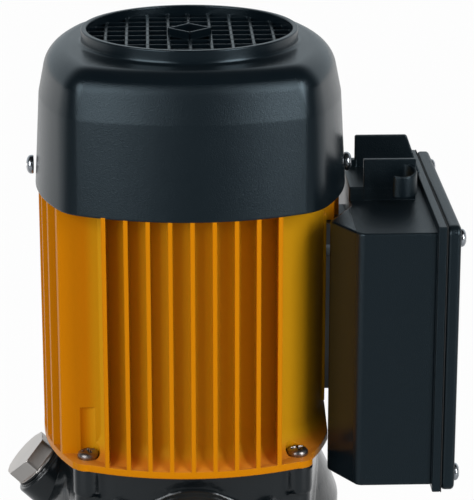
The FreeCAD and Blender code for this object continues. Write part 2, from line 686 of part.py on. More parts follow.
def chamfered_hexagon(name, across_flats, height, at, way):
    """A hexagon whose outer corners are cut back to a round face."""
    blank = hexagon(name + "_blank", across_flats, height, at, way, 30)
    face = f"({across_flats}) * hex_face_ratio / 2"
    slope = f"(({across_flats}) / sqrt(3) - {face}) / hex_chamfer"
    cone = doc.addObject("Part::Cone", name + "_cone")
    bind(cone, "Radius1", f"{face} + {slope} * ({height})")
    bind(cone, "Radius2", face)
    bind(cone, "Height", height)
    return common(name, [blank, place(cone, at, way)])


def make_plugs():
    """The filler plug and the drain plug."""
    make_plug("filler_plug", filler_way(), filler_point,
              ("filler_hex_across", "filler_hex_thick", "filler_collar_thick"),
              "filler_collar_radius", "filler_hole_radius - thread_gap", "filler_shank")
    make_plug("drain_plug", (0, -1, 0), lambda out: (0, f"-drain_reach - ({out})", "drain_level"),
              ("drain_hex_across", "drain_hex_thick", "filler_collar_thick"),
              "drain_collar_radius", "drain_hole_radius - thread_gap", "drain_shank")


def make_seal():
    """A shaft seal: a seat in the head's top plate, and a ring on the shaft under a spring."""
    seat_foot = "flange - head_plate"
    ring_top = f"{seat_foot} - seal_face"
    ring_foot = f"{ring_top} - seal_ring_length"
    keep("seal_seat", ring("seal_seat", "seal_shaft_radius + part_gap", "seat_ring_radius - fit_gap",
                           seat_foot, "flange - head_plate / 2"))
    keep("seal_ring", ring("seal_ring", "seal_shaft_radius + fit_gap", "seal_ring_radius",
                           ring_foot, ring_top))
    keep("seal_collar", ring("seal_collar", "seal_shaft_radius + fit_gap", "seal_ring_radius",
                             "flange - seal_shaft_drop",
                             "flange - seal_shaft_drop + 2 * bowl_plate"))
    spring_foot = "flange - seal_shaft_drop + 2 * bowl_plate"
    wire = "seal_spring_wire"
    coils = []
    for number in range(int(value("seal_spring_turns"))):
        coil = doc.addObject("Part::Torus", f"seal_coil{number}")
        bind(coil, "Radius1", f"seal_shaft_radius + part_gap + {wire}")
        bind(coil, "Radius2", wire)
        spread = f"({ring_foot} - ({spring_foot}) - 2 * {wire}) / (seal_spring_turns - 1)"
        place(coil, (0, 0, f"{spring_foot} + {wire} + {number} * {spread}"))
        coils.append(coil)
    keep("seal_spring", group("seal_spring", coils))
    keep("slinger", turned("slinger", [
        ("seal_shaft_radius + fit_gap", "flange - slinger_thick - slinger_drop"),
        ("slinger_radius", "flange - slinger_thick - slinger_drop"),
        ("slinger_radius", "flange - slinger_thick"),
        ("slinger_waist", "flange - slinger_drop"),
        ("seal_shaft_radius + fit_gap", "flange - slinger_drop")]))


# Motor

def make_housing():
    """The finned motor housing: a tube between combs of fins, with scooped groove ends."""
    tube = cylinder("housing_tube", "tube_radius", "housing_height", (0, 0, "flange"))
    combs = [fin_comb("front_fins", 0, "fin_pitch", "fin_root"),
             fin_comb("side_fins", 90, "side_pitch", "side_root"),
             fin_comb("back_fins", 180, "fin_pitch", "fin_root")]
    envelope = four_arc_loft("fin_envelope", [
        ("flange_half", "face_radius", "flange"), ("fin_top_half", "face_radius", "housing_top")])
    inside = common("fins_inside", [fuse("fin_rows", combs), envelope])
    fins = common("housing_fins", [inside, side_limit("fin_limit", "face_radius - fin_side")])
    plate = four_arc_pad("flange_plate", "flange_half", "face_radius", "flange", "flange_thick")
    round_edges(plate, "flange_corner", upright)
    scoop = turned("scoop", [
        ("tube_bore", "flange"), ("scoop_reach", "flange"),
        ("scoop_reach", "flange + flange_thick"),
        ("tube_radius", "flange + flange_thick + scoop_height"),
        ("tube_bore", "flange + flange_thick + scoop_height")], {2: "-scoop_height"})
    pad = box("adapter_pad", "pad_face - pad_root", "2 * pad_half", "pad_top - pad_foot",
              ("pad_root", "-pad_half", "flange + pad_foot"))
    bracket_rise = "housing_height - bracket_foot"
    low = box("bracket_low", "bracket_low_x - pad_root", "bracket_front + bracket_back",
              bracket_rise, ("pad_root", "-bracket_front", "flange + bracket_foot"))
    high = box("bracket_high", "bracket_high_x - pad_root", "bracket_back", bracket_rise,
               ("pad_root", 0, "flange + bracket_foot"))
    solids = [tube, fins, flange_foot(fuse("flange_disc", [plate, scoop])), pad, low, high]
    holes = [housing_cavity()]
    for number, (x, y) in enumerate(corners_of("screw_across", "screw_out")):
        lug_y = y.replace("screw_out", "lug_out")
        solids.append(cylinder(f"flange_lug{number}", "flange_lug_radius", "flange_thick",
                               (x, lug_y, "flange")))
        holes.append(cylinder(f"flange_spot{number}", "spot_radius", "scoop_height * 2",
                              (x, y, "flange + flange_thick")))
        holes.append(cylinder(f"flange_hole{number}", "screw_radius + thread_gap",
                              "2 * flange_thick", (x, y, "flange - flange_thick / 2")))
    keep("motor_housing", cut("motor_housing", fuse("housing_solid", solids), holes))


def side_limit(name, middle):
    """A round block that limits the housing's foot or fins on one side."""
    return cylinder(name, "face_radius", "housing_height", (middle, 0, "flange"))


def flange_foot(disc):
    """The flange with its left side in line with the fins and its right side cut back."""
    left = common("flange_left", [disc, side_limit("flange_left_limit", "face_radius - fin_side")])
    right = common("flange_right", [left, side_limit("flange_right_limit",
                                                     "flange_side - face_radius")])
    flat = box("flange_flat_cut", "flange_half - flange_flat", "2 * flange_half",
               "flange_thick + scoop_height + cut_over",
               ("flange_flat", "-flange_half", "flange - cut_over / 2"))
    return cut("flange_trimmed", right, [flat])


def fin_comb(name, turn, pitch, root):
    """A row of upright fins, evenly spaced along X and facing -Y before it is turned."""
    body = new_body(name)
    first = f"-(fin_count - 1) * {pitch} / 2"
    sketch = outline(body, name + "_first", [
        (f"{first} - fin_thick / 2", "-fin_top_half - cut_over"),
        (f"{first} + fin_thick / 2", "-fin_top_half - cut_over"),
        (f"{first} + fin_thick / 2", f"-{root}"), (f"{first} - fin_thick / 2", f"-{root}")],
        "XY_Plane", "flange")
    pad = body.newObject("PartDesign::Pad", name + "_fin")
    pad.Profile = (sketch, [""])
    bind(pad, "Length", "housing_height")
    doc.recompute()
    pattern = body.newObject("PartDesign::LinearPattern", name + "_pattern")
    pattern.Originals = [pad]
    pattern.Direction = (origin_part(body, "X_Axis"), [""])
    bind(pattern, "Length", f"(fin_count - 1) * {pitch}")
    bind(pattern, "Occurrences", "fin_count")
    body.Tip = pattern
    body.Placement = Placement(Vector(), Rotation(Vector(0, 0, 1), -turn))
    return body


def housing_cavity():
    """What is bored out of the housing: the shaft hole, the bearing seat and the stator bore."""
    seat = "bearing_radius + fit_gap"
    return turned("housing_cavity", [
        (0, "flange - cut_over"), ("shaft_hole_radius", "flange - cut_over"),
        ("shaft_hole_radius", "bearing_foot"),
        (seat, "bearing_foot"), (seat, "bearing_top"), ("bearing_hub_radius", "bearing_top"),
        ("bearing_hub_radius", "flange + floor_plate"), ("tube_bore", "flange + floor_plate"),
        ("tube_bore", "housing_top + cut_over"), (0, "housing_top + cut_over")])


def pan_screw(name, at, way, head_radius, head_thick, radius, grip):
    """A pan-head screw with a domed head, its seat at a place and its shank going back from it."""
    head = cylinder(name + "_head", head_radius, head_thick, at, way)
    dome = doc.addObject("Part::Fillet", name + "_dome")
    doc.recompute()
    dome.Base = head
    circles = [number for number, edge in enumerate(head.Shape.Edges, 1)
               if edge.Curve.TypeId == "Part::GeomCircle"]
    outer = max(circles, key=lambda number: (head.Shape.Edges[number - 1].CenterOfMass
                                             - head.Placement.Base).dot(Vector(*way)))
    rounding = value(f"pan_round * ({head_thick})")
    dome.Edges = [(outer, rounding, rounding)]
    back = tuple(f"{spot} - ({grip}) * {step}" for spot, step in zip(at, way))
    shank = cylinder(name + "_shank", radius, grip, back, way)
    return fuse(name, [dome, shank])


def make_motor_screws():
    """The screws of the motor flange and of the fan cowl."""
    seat = "flange + flange_thick"
    keep("housing_screws", group("housing_screws", [
        pan_screw(f"flange_screw{number}", (x, y, seat), (0, 0, 1), "screw_head_radius",
                  "screw_head_thick", "screw_tap_radius - fit_gap", "flange_thick + screw_grip")
        for number, (x, y) in enumerate(corners_of("screw_across", "screw_out"))]))
    seat_x = "(cowl_half - (cowl_half - cowl_crease_half) * " \
             "(cowl_screw_lift - cowl_screw_head) / cowl_crease)"
    keep("cowl_screws", group("cowl_screws", [
        pan_screw(f"cowl_screw{number}",
                  (f"{side} * {seat_x}", 0, "cowl_foot + cowl_screw_lift"), (side, 0, 0),
                  "cowl_screw_head", "cowl_screw_thick", "cowl_screw_radius - fit_gap",
                  "cowl_screw_grip")
        for number, side in enumerate((-1, 1))]))


def make_bearing(name, bore, radius, foot, width, balls):
    """A ball bearing as its outer ring, inner ring and balls."""
    wall = "race_wall"
    top = f"{foot} + {width}"
    keep(name + "_outer", ring(name + "_outer", f"{radius} - {wall}", radius, foot, top))
    keep(name + "_inner", ring(name + "_inner", f"{bore} + fit_gap", f"{bore} + {wall}", foot, top))
    track = f"(({bore}) + ({radius})) / 2"
    size = f"(({radius}) - ({bore})) / 2 - {wall} - part_gap"
    circle = []
    for number in range(int(value(balls))):
        ball = doc.addObject("Part::Sphere", f"{name}_ball{number}")
        bind(ball, "Radius", size)
        angle = f"{number} * 360 deg / ({balls})"
        place(ball, (f"{track} * cos({angle})", f"{track} * sin({angle})", f"{foot} + {width} / 2"))
        circle.append(ball)
    keep(name + "_balls", group(name + "_balls", circle))


def make_motor_inside():
    """The bearings, the stator with its windings, and the rotor."""
    make_bearing("lower_bearing", "bearing_bore", "bearing_radius", "bearing_foot",
                 "bearing_width", "ball_count")
    make_bearing("upper_bearing", "upper_bore", "upper_radius", "upper_foot", "upper_width",
                 "upper_ball_count")
    keep("stator_core", ring("stator_core", "core_bore", "tube_bore - fit_gap", "core_foot",
                             "core_top"))
    bundles = []
    for name, foot in (("lower_bundle", "core_foot - winding_length"), ("upper_bundle", "core_top")):
        bundle = ring(name, "winding_inner", "winding_outer", foot, f"{foot} + winding_length")
        far = value(foot) + (value("winding_length") if name == "upper_bundle" else 0)
        round_edges(bundle, "winding_round",
                    lambda edge, far=far: edge.Closed and abs(edge.CenterOfMass.z - far) < 0.01)
        bundles.append(bundle)
    keep("stator_windings", group("stator_windings", bundles))
    bore = "rotor_shaft_radius + fit_gap"
    outer = "core_bore - air_gap"
    keep("rotor_core", turned("rotor_core", [
        (bore, "core_foot"), ("end_ring_inner", "core_foot"),
        ("end_ring_inner", "core_foot - end_ring_length"), (outer, "core_foot - end_ring_length"),
        (outer, "core_top + end_ring_length"), ("end_ring_inner", "core_top + end_ring_length"),
        ("end_ring_inner", "core_top"), (bore, "core_top")]))


def make_shield():
    """The upper end shield: a plate on the housing with a bearing hub and two cowl lugs."""
    seat = "upper_radius + fit_gap"
    plate_top = "housing_top + shield_plate"
    shield = turned("shield_plate_body", [
        ("shield_way_radius", "upper_top + spring_thick"), (seat, "upper_top + spring_thick"),
        (seat, "upper_foot"), ("upper_hub_radius", "upper_foot"),
        ("upper_hub_radius", "housing_top - shield_spigot"),
        ("tube_bore - part_gap", "housing_top - shield_spigot"),
        ("tube_bore - part_gap", "housing_top"), ("shield_radius", "housing_top"),
        ("shield_radius", plate_top), ("shield_way_radius", plate_top)])
    lugs = []
    for number, side in enumerate((-1, 1)):
        inner = "shield_radius - shield_lug_half"
        outer = "cowl_half - cowl_wall - part_gap - (cowl_half - cowl_crease_half) * " \
                "shield_lug_rise / cowl_crease"
        x = inner if side > 0 else f"-({outer})"
        lugs.append(box(f"shield_lug{number}", f"{outer} - ({inner})", "2 * shield_lug_half",
                        "shield_lug_rise", (x, "-shield_lug_half", "housing_top")))
    holes = [cylinder(f"lug_hole{number}", "cowl_screw_radius", "3 * shield_lug_half",
                      (f"{side} * (shield_radius - 2 * shield_lug_half)", 0,
                       "cowl_foot + cowl_screw_lift"), (side, 0, 0))
             for number, side in enumerate((-1, 1))]
    screws = []
    spot = "shield_screw_circle * sqrt(0.5)"
    for number, (x, y) in enumerate(corners_of(spot, spot)):
        holes.append(cylinder(f"shield_hole{number}", "shield_screw_radius + fit_gap",
                              "3 * shield_plate", (x, y, "housing_top - shield_plate")))
        screws.append(pan_screw(f"shield_screw{number}", (x, y, plate_top), (0, 0, 1),
                                "shield_screw_head", "shield_screw_thick",
                                "shield_screw_radius", "shield_plate"))
    keep("upper_end_shield", cut("upper_end_shield", fuse("shield_solid", [shield] + lugs), holes))
    keep("end_shield_screws", group("end_shield_screws", screws))
    keep("wave_spring", ring("wave_spring", "upper_radius - race_wall", "upper_radius - fit_gap",
                             "upper_top", "upper_top + spring_thick"))


def make_fan():
    """The fan, with blades all round a disc, and the clip that holds it."""
    foot = "fan_foot"
    disc = turned("fan_disc", [
        ("fan_shaft_radius + fit_gap", foot), ("fan_disc_radius", foot),
        ("fan_disc_radius", f"{foot} + fan_disc_thick"),
        ("fan_hub_radius", f"{foot} + fan_disc_thick"),
        ("fan_hub_radius", f"{foot} + fan_blade_height / 2"),
        ("fan_shaft_radius + fit_gap", f"{foot} + fan_blade_height / 2")])
    blade = padded("fan_blades", "XZ_Plane", [
        ("fan_hub_radius - fan_root", foot), ("fan_disc_radius", foot),
        ("fan_radius", f"{foot} + fan_blade_height / 3"),
        ("fan_radius", f"{foot} + fan_blade_height"),
        ("fan_disc_radius", f"{foot} + fan_blade_height"),
        ("fan_hub_radius - fan_root", f"{foot} + fan_blade_height / 2")],
        "-fan_blade_thick / 2", "fan_blade_thick")
    repeat_round(blade, "fan_blade_count")
    keep("cooling_fan", fuse("cooling_fan", [disc, blade]))
    keep("fan_clip", ring("fan_clip", "fan_shaft_radius + fit_gap", "clip_radius",
                          f"{foot} + fan_blade_height / 2",
                          f"{foot} + fan_blade_height / 2 + clip_thick"))


def cowl_form(name, inset, foot):
    """The cowl's outer form, or its inner one when inset: a dome cut by four leaning faces."""
    shoulder = "cowl_top"
    top = f"{shoulder} - ({inset})"
    reach = "rim_radius + rim_step"
    radius = f"cowl_shoulder - ({inset})"
    corner = f"cowl_corner_radius - ({inset})"
    dome = turned(name + "_dome", [
        (0, foot), (corner, foot), (f"{reach} + {radius}", f"{top} - ({radius})"),
        (reach, top), (0, top)], {2: radius})
    crease = "cowl_foot + cowl_crease"
    faces = four_arc_loft(name + "_faces", [
        (f"cowl_half - ({inset})", "cowl_face_radius", foot),
        (f"cowl_crease_half - ({inset})", "cowl_face_radius", crease),
        (f"cowl_top_half - ({inset})", "cowl_face_radius", shoulder)])
    return common(name, [dome, faces])


def make_cowl():
    """The fan cowl: a thin dome with a rim and a square grid over the fan."""
    outer = cowl_form("cowl_outer", "0", "cowl_foot")
    inner = cowl_form("cowl_inner", "cowl_wall", "cowl_foot")
    rim_top = "cowl_top + rim_height"
    rim = ring("cowl_rim", "rim_inner - cowl_wall", "rim_radius", "cowl_top - cowl_wall", rim_top)
    mouth = cylinder("cowl_mouth", "rim_inner", "4 * cowl_wall + rim_height",
                     (0, 0, "cowl_top - 2 * cowl_wall"))
    screw_holes = [cylinder(f"cowl_hole{number}", "cowl_screw_radius + thread_gap",
                            "2 * cowl_half", (0, 0, "cowl_foot + cowl_screw_lift"), (side, 0, 0))
                   for number, side in enumerate((-1, 1))]
    shell = cut("cowl_shell", fuse("cowl_walls", [outer, rim]), [inner, mouth] + screw_holes)
    keep("fan_cowl", fuse("fan_cowl", [shell, cowl_grid()]))


def cowl_grid():
    """A square grid inside the rim, with a square hub set cornerwise in its middle."""
    foot = "cowl_top + rim_height - grid_drop - grid_depth"
    bars = []
    count = int(value("grid_count"))
    for number in range(count):
        offset = f"({number} - (grid_count - 1) / 2) * grid_pitch"
        bars.append(box(f"bar_back{number}", "grid_bar", "2 * rim_inner", "grid_depth",
                        (f"{offset} - grid_bar / 2", "-rim_inner", foot)))
        bars.append(box(f"bar_side{number}", "2 * rim_inner", "grid_bar_thin", "grid_depth",
                        ("-rim_inner", f"{offset} - grid_bar_thin / 2", foot)))
    disc = cylinder("grid_disc", "rim_inner + cowl_wall / 2", "grid_depth", (0, 0, foot))
    grid = common("grid_round", [fuse("grid_bars", bars), disc])
    blocks = []
    for name, half, level, tall in (
            ("hub_outer", "grid_hub_half", f"{foot} - grid_hub_drop",
             "grid_hub_drop + grid_depth + grid_hub_rise"),
            ("hub_inner", "grid_hub_half - grid_hub_wall", f"{foot} + grid_depth",
             "grid_hub_rise + cut_over")):
        block = padded(name, "XY_Plane", [
            (f"-({half})", f"-({half})"), (half, f"-({half})"), (half, half),
            (f"-({half})", half)], level, tall)
        block.Placement = Placement(Vector(), Rotation(Vector(0, 0, 1), 45))
        blocks.append(block)
    return fuse("grid", [grid, cut("grid_hub", blocks[0], [blocks[1]])])


# Terminal box

def box_plan(inset):
    """The box's outline from above: a wing reaches round the motor in front of a flat back."""
    wing = [("box_front_x", "box_half"), ("box_wing_x", "box_wing_y"), ("box_back_x", "box_back_y")]
    front = [(f"{x} + ({inset})", f"-({y} - ({inset}))") for x, y in wing]
    return front + [(f"box_back_x + ({inset})", f"box_half - ({inset})"),
                    ("box_rim_x", f"box_half - ({inset})"),
                    ("box_rim_x", f"-(box_half - ({inset}))")]


def make_box():
    """The terminal box: a hollow body with a raised deck, a hood, a wall and a cable clip."""
    shell = padded("box_shell", "XY_Plane", box_plan("0"), "box_foot", "box_height")
    deck = box("box_deck", "deck_long", "deck_front + deck_back", "deck_rise",
               ("box_back_x", "-deck_front", "box_top"))
    rim = box("box_rim", "rim_thick", "2 * (box_half + rim_over)", "box_height + rim_drop + rim_rise",
              ("box_rim_x", "-(box_half + rim_over)", "box_foot - rim_drop"))
    wall = box("cable_wall", "wall_long", "wall_thick", "wall_rise",
               ("wall_x", "-deck_front", "box_top"))
    hood = padded("cable_hood", "XZ_Plane", [
        ("hood_x", "box_top"), ("hood_x + hood_long + hood_slope", "box_top"),
        ("hood_x + hood_long", "box_top + hood_rise"), ("hood_x", "box_top + hood_rise")],
        "-(hood_y + hood_thick)", "hood_thick")
    curb = box("cable_curb", "curb_long", "deck_back - hood_y", "deck_rise + curb_rise",
               ("curb_x", "hood_y", "box_top"))
    pillar_long = "lid_screw_grip + pillar_over"
    pillars = [cylinder(f"lid_pillar{number}", "lid_pillar_radius", pillar_long,
                        (f"box_rim_x + rim_thick - ({pillar_long})", y, z), (1, 0, 0))
               for number, (y, z) in enumerate(lid_corners())]
    hollow = padded("box_hollow", "XY_Plane", box_plan("box_wall"), "box_foot + box_wall",
                    "box_height - 2 * box_wall")
    mouth = box("box_mouth", "rim_thick + 2 * box_wall", "2 * (box_half - box_wall)",
                "box_height - 2 * box_wall",
                ("box_rim_x - box_wall", "-(box_half - box_wall)", "box_foot + box_wall"))
    tap_long = "lid_screw_grip + tap_over"
    taps = [cylinder(f"lid_tap{number}", "lid_screw_radius", tap_long,
                     (f"box_rim_x + rim_thick - ({tap_long})", y, z), (1, 0, 0))
            for number, (y, z) in enumerate(lid_corners())]
    gland = cylinder("gland_port", "gland_hole_radius", "3 * box_wall",
                     ("gland_x", "box_half - 2 * box_wall", "gland_z"), (0, 1, 0))
    entry = cylinder("wire_entry", "gland_hole_radius", "4 * box_wall",
                     ("box_back_x - box_wall", 0, "box_foot + block_level"), (1, 0, 0))
    hollowed = cut("box_hollowed", fuse("box_solid", [shell, deck, rim]), [hollow, mouth])
    fitted = fuse("box_fitted", [hollowed, wall, hood, curb, cable_clip()] + pillars)
    keep("terminal_box", cut("terminal_box", fitted, taps + [gland, entry]))


def cable_clip():
    """A C-shaped clip that stands on the cable wall, opens to the left and slants at its top."""
    body = new_body("cable_clip")
    foot = "box_top + clip_lift"
    sketch = new_sketch(body, "clip_plan", "XY_Plane", foot)
    middle = ("clip_across", "-(deck_front + clip_inner)")
    for radius in ("clip_inner", "clip_inner + clip_wall"):
        circle = Part.Circle(Vector(value(middle[0]), value(middle[1]), 0), Vector(0, 0, 1),
                             value(radius))
        edge = sketch.addGeometry(circle)
        number = sketch.addConstraint(Sketcher.Constraint("Radius", edge, value(radius)))
        sketch.setExpression(f"Constraints[{number}]", ref(radius))
        pin(sketch, edge, 3, *middle)
    pad = body.newObject("PartDesign::Pad", "clip_pad")
    pad.Profile = (sketch, [""])
    bind(pad, "Length", "clip_tall + clip_slant")
    gap = box("clip_gap", "2 * clip_inner", "2 * clip_inner - clip_wall", "clip_tall + clip_slant",
              (f"{middle[0]} - 2 * clip_inner - clip_wall", f"{middle[1]} - clip_inner + clip_wall",
               foot))
    front = "-(deck_front + 2 * clip_inner + clip_wall)"
    low = f"{foot} + clip_tall"
    high = f"{low} + clip_slant"
    slant = padded("clip_slant_cut", "YZ_Plane", [
        (f"{front} - clip_wall", low), (front, low), ("-deck_front", high),
        ("-deck_front", f"{high} + cut_over"), (f"{front} - clip_wall", f"{high} + cut_over")],
        "clip_across - 2 * clip_inner", "4 * clip_inner")
    return cut("clip_open", body, [gap, slant])


def lid_corners():
    """The four lid screw places, as Y and Z."""
    return [(y, z) for y in ("-lid_screw_y", "lid_screw_y")
            for z in ("box_foot - rim_drop + lid_screw_inset",
                      "box_top + rim_rise - lid_screw_inset")]


def make_lid():
    """The lid: a plate with rounded corners and a crowned outer face, on a thin gasket."""
    half = "box_half + rim_over"
    foot = "box_foot - rim_drop"
    top = "box_top + rim_rise"
    face_x = "box_rim_x + rim_thick + lid_gasket"
    corners = [(f"-({half})", foot), (half, foot), (half, top), (f"-({half})", top)]
    plate = padded("lid_plate", "YZ_Plane", corners, face_x, "lid_thick")
    across = value(face_x) + value("lid_thick")
    round_edges(plate, "lid_corner",
                lambda edge: edge.Curve.TypeId == "Part::GeomLine"
                and abs(edge.tangentAt(edge.FirstParameter).x) > 0.99)
    round_edges(plate, "lid_crown",
                lambda edge: abs(edge.CenterOfMass.x - across) < 0.01
                and edge.BoundBox.XLength < 0.01)
    holes = [cylinder(f"lid_hole{number}", "lid_screw_radius + thread_gap", "3 * lid_thick",
                      (f"{face_x} - lid_thick", y, z), (1, 0, 0))
             for number, (y, z) in enumerate(lid_corners())]
    keep("box_lid", cut("box_lid", plate, holes))
    sheet_body = padded("gasket_sheet", "YZ_Plane", corners, "box_rim_x + rim_thick", "lid_gasket")
    inset = "(rim_over + box_wall)"
    window = box("gasket_window", "3 * lid_gasket", f"2 * ({half} - {inset})",
                 "box_height - 2 * box_wall",
                 ("box_rim_x + rim_thick - lid_gasket", f"-({half} - {inset})",
                  "box_foot + box_wall"))
    gasket_holes = [cylinder(f"gasket_hole{number}", "lid_screw_radius + thread_gap",
                             "4 * lid_gasket", ("box_rim_x + rim_thick - lid_gasket", y, z),
                             (1, 0, 0)) for number, (y, z) in enumerate(lid_corners())]
    keep("lid_gasket", cut("lid_gasket", sheet_body, [window] + gasket_holes))
    keep("lid_screws", group("lid_screws", [
        pan_screw(f"lid_screw{number}", (f"{face_x} + lid_thick", y, z), (1, 0, 0),
                  "lid_screw_head", "lid_screw_thick", "lid_screw_radius - fit_gap",
                  "lid_thick + lid_screw_grip - tap_over")
        for number, (y, z) in enumerate(lid_corners())]))


def make_box_inside():
    """The adapter between motor and box, and what the box holds."""
    plate = box("adapter_plate", "box_back_x - adapter_x", "2 * adapter_half",
                "adapter_top - adapter_foot", ("adapter_x", "-adapter_half", "flange + adapter_foot"))
    reach = "adapter_x + box_wall / 2 - pad_face"
    neck = box("adapter_neck", reach, "2 * pad_half", "neck_top - neck_foot",
               ("pad_face", "-pad_half", "flange + neck_foot"))
    arm = box("adapter_arm", reach, "2 * pad_half", "adapter_top - arm_foot",
              ("pad_face", "-pad_half", "flange + arm_foot"))
    hole = cylinder("adapter_hole", "gland_hole_radius", "2 * (box_back_x - pad_face)",
                    ("pad_face - cut_over", 0, "box_foot + block_level"), (1, 0, 0))
    keep("box_adapter", cut("box_adapter", fuse("adapter_solid", [plate, neck, arm]), [hole]))
    back = "box_back_x + box_wall"
    block_foot = "box_foot + block_level - block_tall - gland_hole_radius"
    keep("terminal_block", box("terminal_block", "block_deep", "block_long", "block_tall",
                               (back, "-block_long / 2", block_foot)))
    keep("capacitor", cylinder("capacitor", "cap_radius", "cap_length",
                               (f"{back} + cap_radius", "-cap_length / 2",
                                "box_foot + block_level + gland_hole_radius + cap_radius"),
                               (0, 1, 0)))
    outer = ("gland_x", "box_half", "gland_z")
    collar = cylinder("gland_collar", "gland_radius", "gland_length", outer, (0, 1, 0))
    stem = cylinder("gland_stem", "gland_hole_radius - fit_gap", "2 * box_wall + gland_length",
                    ("gland_x", "box_half - 2 * box_wall", "gland_z"), (0, 1, 0))
    bore = cylinder("gland_way", "gland_bore", "4 * gland_length",
                    ("gland_x", "box_half - 2 * gland_length", "gland_z"), (0, 1, 0))
    keep("cable_gland", cut("cable_gland", fuse("gland_solid", [collar, stem]), [bore]))
    nut = hexagon("gland_nut_blank", "gland_nut_across", "gland_nut_thick",
                  ("gland_x", "box_half + gland_length", "gland_z"), (0, 1, 0))
    nut_bore = cylinder("gland_nut_bore", "gland_bore", "3 * gland_nut_thick",
                        ("gland_x", "box_half", "gland_z"), (0, 1, 0))
    keep("gland_nut", cut("gland_nut", nut, [nut_bore]))


def write_parts():
    """Check every object and every finished piece, then write one file for each piece."""
    doc.recompute()
    failed = [item.Name for item in doc.Objects if {"Invalid", "Error"} & set(item.State)]
    for label, item in nodes.items():
        if item.Shape.isNull() or not item.Shape.isValid() or not item.Shape.Solids:
            failed.append(label)
    if failed:
        raise SystemExit("these objects failed: " + ", ".join(failed))
    os.makedirs("parts", exist_ok=True)
    for label, item in nodes.items():
        item.Shape.exportStep(f"parts/{label}.step")
        print(f"{label}: {len(item.Shape.Solids)} solids, {item.Shape.Volume / 1000:.1f} cm3")


def main():
    """Make every piece in turn and write them."""
    write_sheets()
    make_base()
    make_sleeve()
    make_tie_rods()
    for number in range(int(value("stage_count"))):
        make_bowl(number)
        make_impeller(number)
    make_spacers()
    make_shaft()
    make_head()
    make_plugs()
    make_seal()
    make_housing()
    make_motor_screws()
    make_motor_inside()
    make_shield()
    make_fan()
    make_cowl()
    make_box()
    make_lid()
    make_box_inside()
    write_parts()


main()
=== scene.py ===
import json
import logging
import math
from collections.abc import Callable, Iterable, Sequence
from dataclasses import dataclass
from enum import Enum

import bmesh
import bpy
from mathutils import Matrix, Vector


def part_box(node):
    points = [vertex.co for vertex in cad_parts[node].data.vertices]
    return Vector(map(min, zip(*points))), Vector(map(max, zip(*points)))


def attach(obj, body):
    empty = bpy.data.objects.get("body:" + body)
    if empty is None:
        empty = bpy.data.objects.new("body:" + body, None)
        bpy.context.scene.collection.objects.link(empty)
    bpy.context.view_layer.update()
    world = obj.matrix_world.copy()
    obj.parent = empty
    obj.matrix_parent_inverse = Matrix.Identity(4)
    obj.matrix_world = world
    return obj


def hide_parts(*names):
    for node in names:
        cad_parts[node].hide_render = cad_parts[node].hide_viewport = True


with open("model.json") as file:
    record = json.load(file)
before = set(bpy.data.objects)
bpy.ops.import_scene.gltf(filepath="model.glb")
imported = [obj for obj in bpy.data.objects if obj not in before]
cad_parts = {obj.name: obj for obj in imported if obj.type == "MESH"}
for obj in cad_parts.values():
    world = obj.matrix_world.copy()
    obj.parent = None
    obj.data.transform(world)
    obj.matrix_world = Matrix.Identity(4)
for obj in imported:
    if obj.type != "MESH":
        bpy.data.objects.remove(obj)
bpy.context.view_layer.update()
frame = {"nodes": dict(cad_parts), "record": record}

Pair = tuple[float, float]
Triple = tuple[float, float, float]
Tree = bpy.types.NodeTree
Node = bpy.types.Node
Socket = bpy.types.NodeSocket

LOG = logging.getLogger("multistage_pump")
MM = 0.001
TURN = 2 * math.pi
WARM_DUST = (0.42, 0.40, 0.37)
GREY_DUST = (0.34, 0.34, 0.33)
BEVEL_SAMPLES = 4
SPOT_CONTRAST = 5.0
DUST_STEEPNESS = 3.0
# Turns that take a plan's own normal to the back and to the right.
UPRIGHT = Matrix(((1, 0, 0, 0), (0, 0, -1, 0), (0, 1, 0, 0), (0, 0, 0, 1)))
SIDEWAYS = Matrix(((0, 0, 1, 0), (1, 0, 0, 0), (0, 1, 0, 0), (0, 0, 0, 1)))


class Slot(Enum):
    """The record's material slots."""

    ORANGE_PAINT = "orange_paint"
    BLACK_MOULDING = "black_moulding"
    BLACK_ENAMEL = "black_enamel"
    STAINLESS = "stainless"
    ZINC_STEEL = "zinc_steel"
    DARK_STEEL = "dark_steel"
    PLATED_BRASS = "plated_brass"
    BARE_ALUMINIUM = "bare_aluminium"
    RUBBER = "rubber"
    COPPER = "copper"
    CORE_STEEL = "core_steel"
    CARBON = "carbon"
    FIBRE = "fibre"
    WHITE_PLASTIC = "white_plastic"


class Body(Enum):
    """The rigid bodies that modelled pieces ride on."""

    ROOT = "root"
    FILLER = "filler_plug_body"


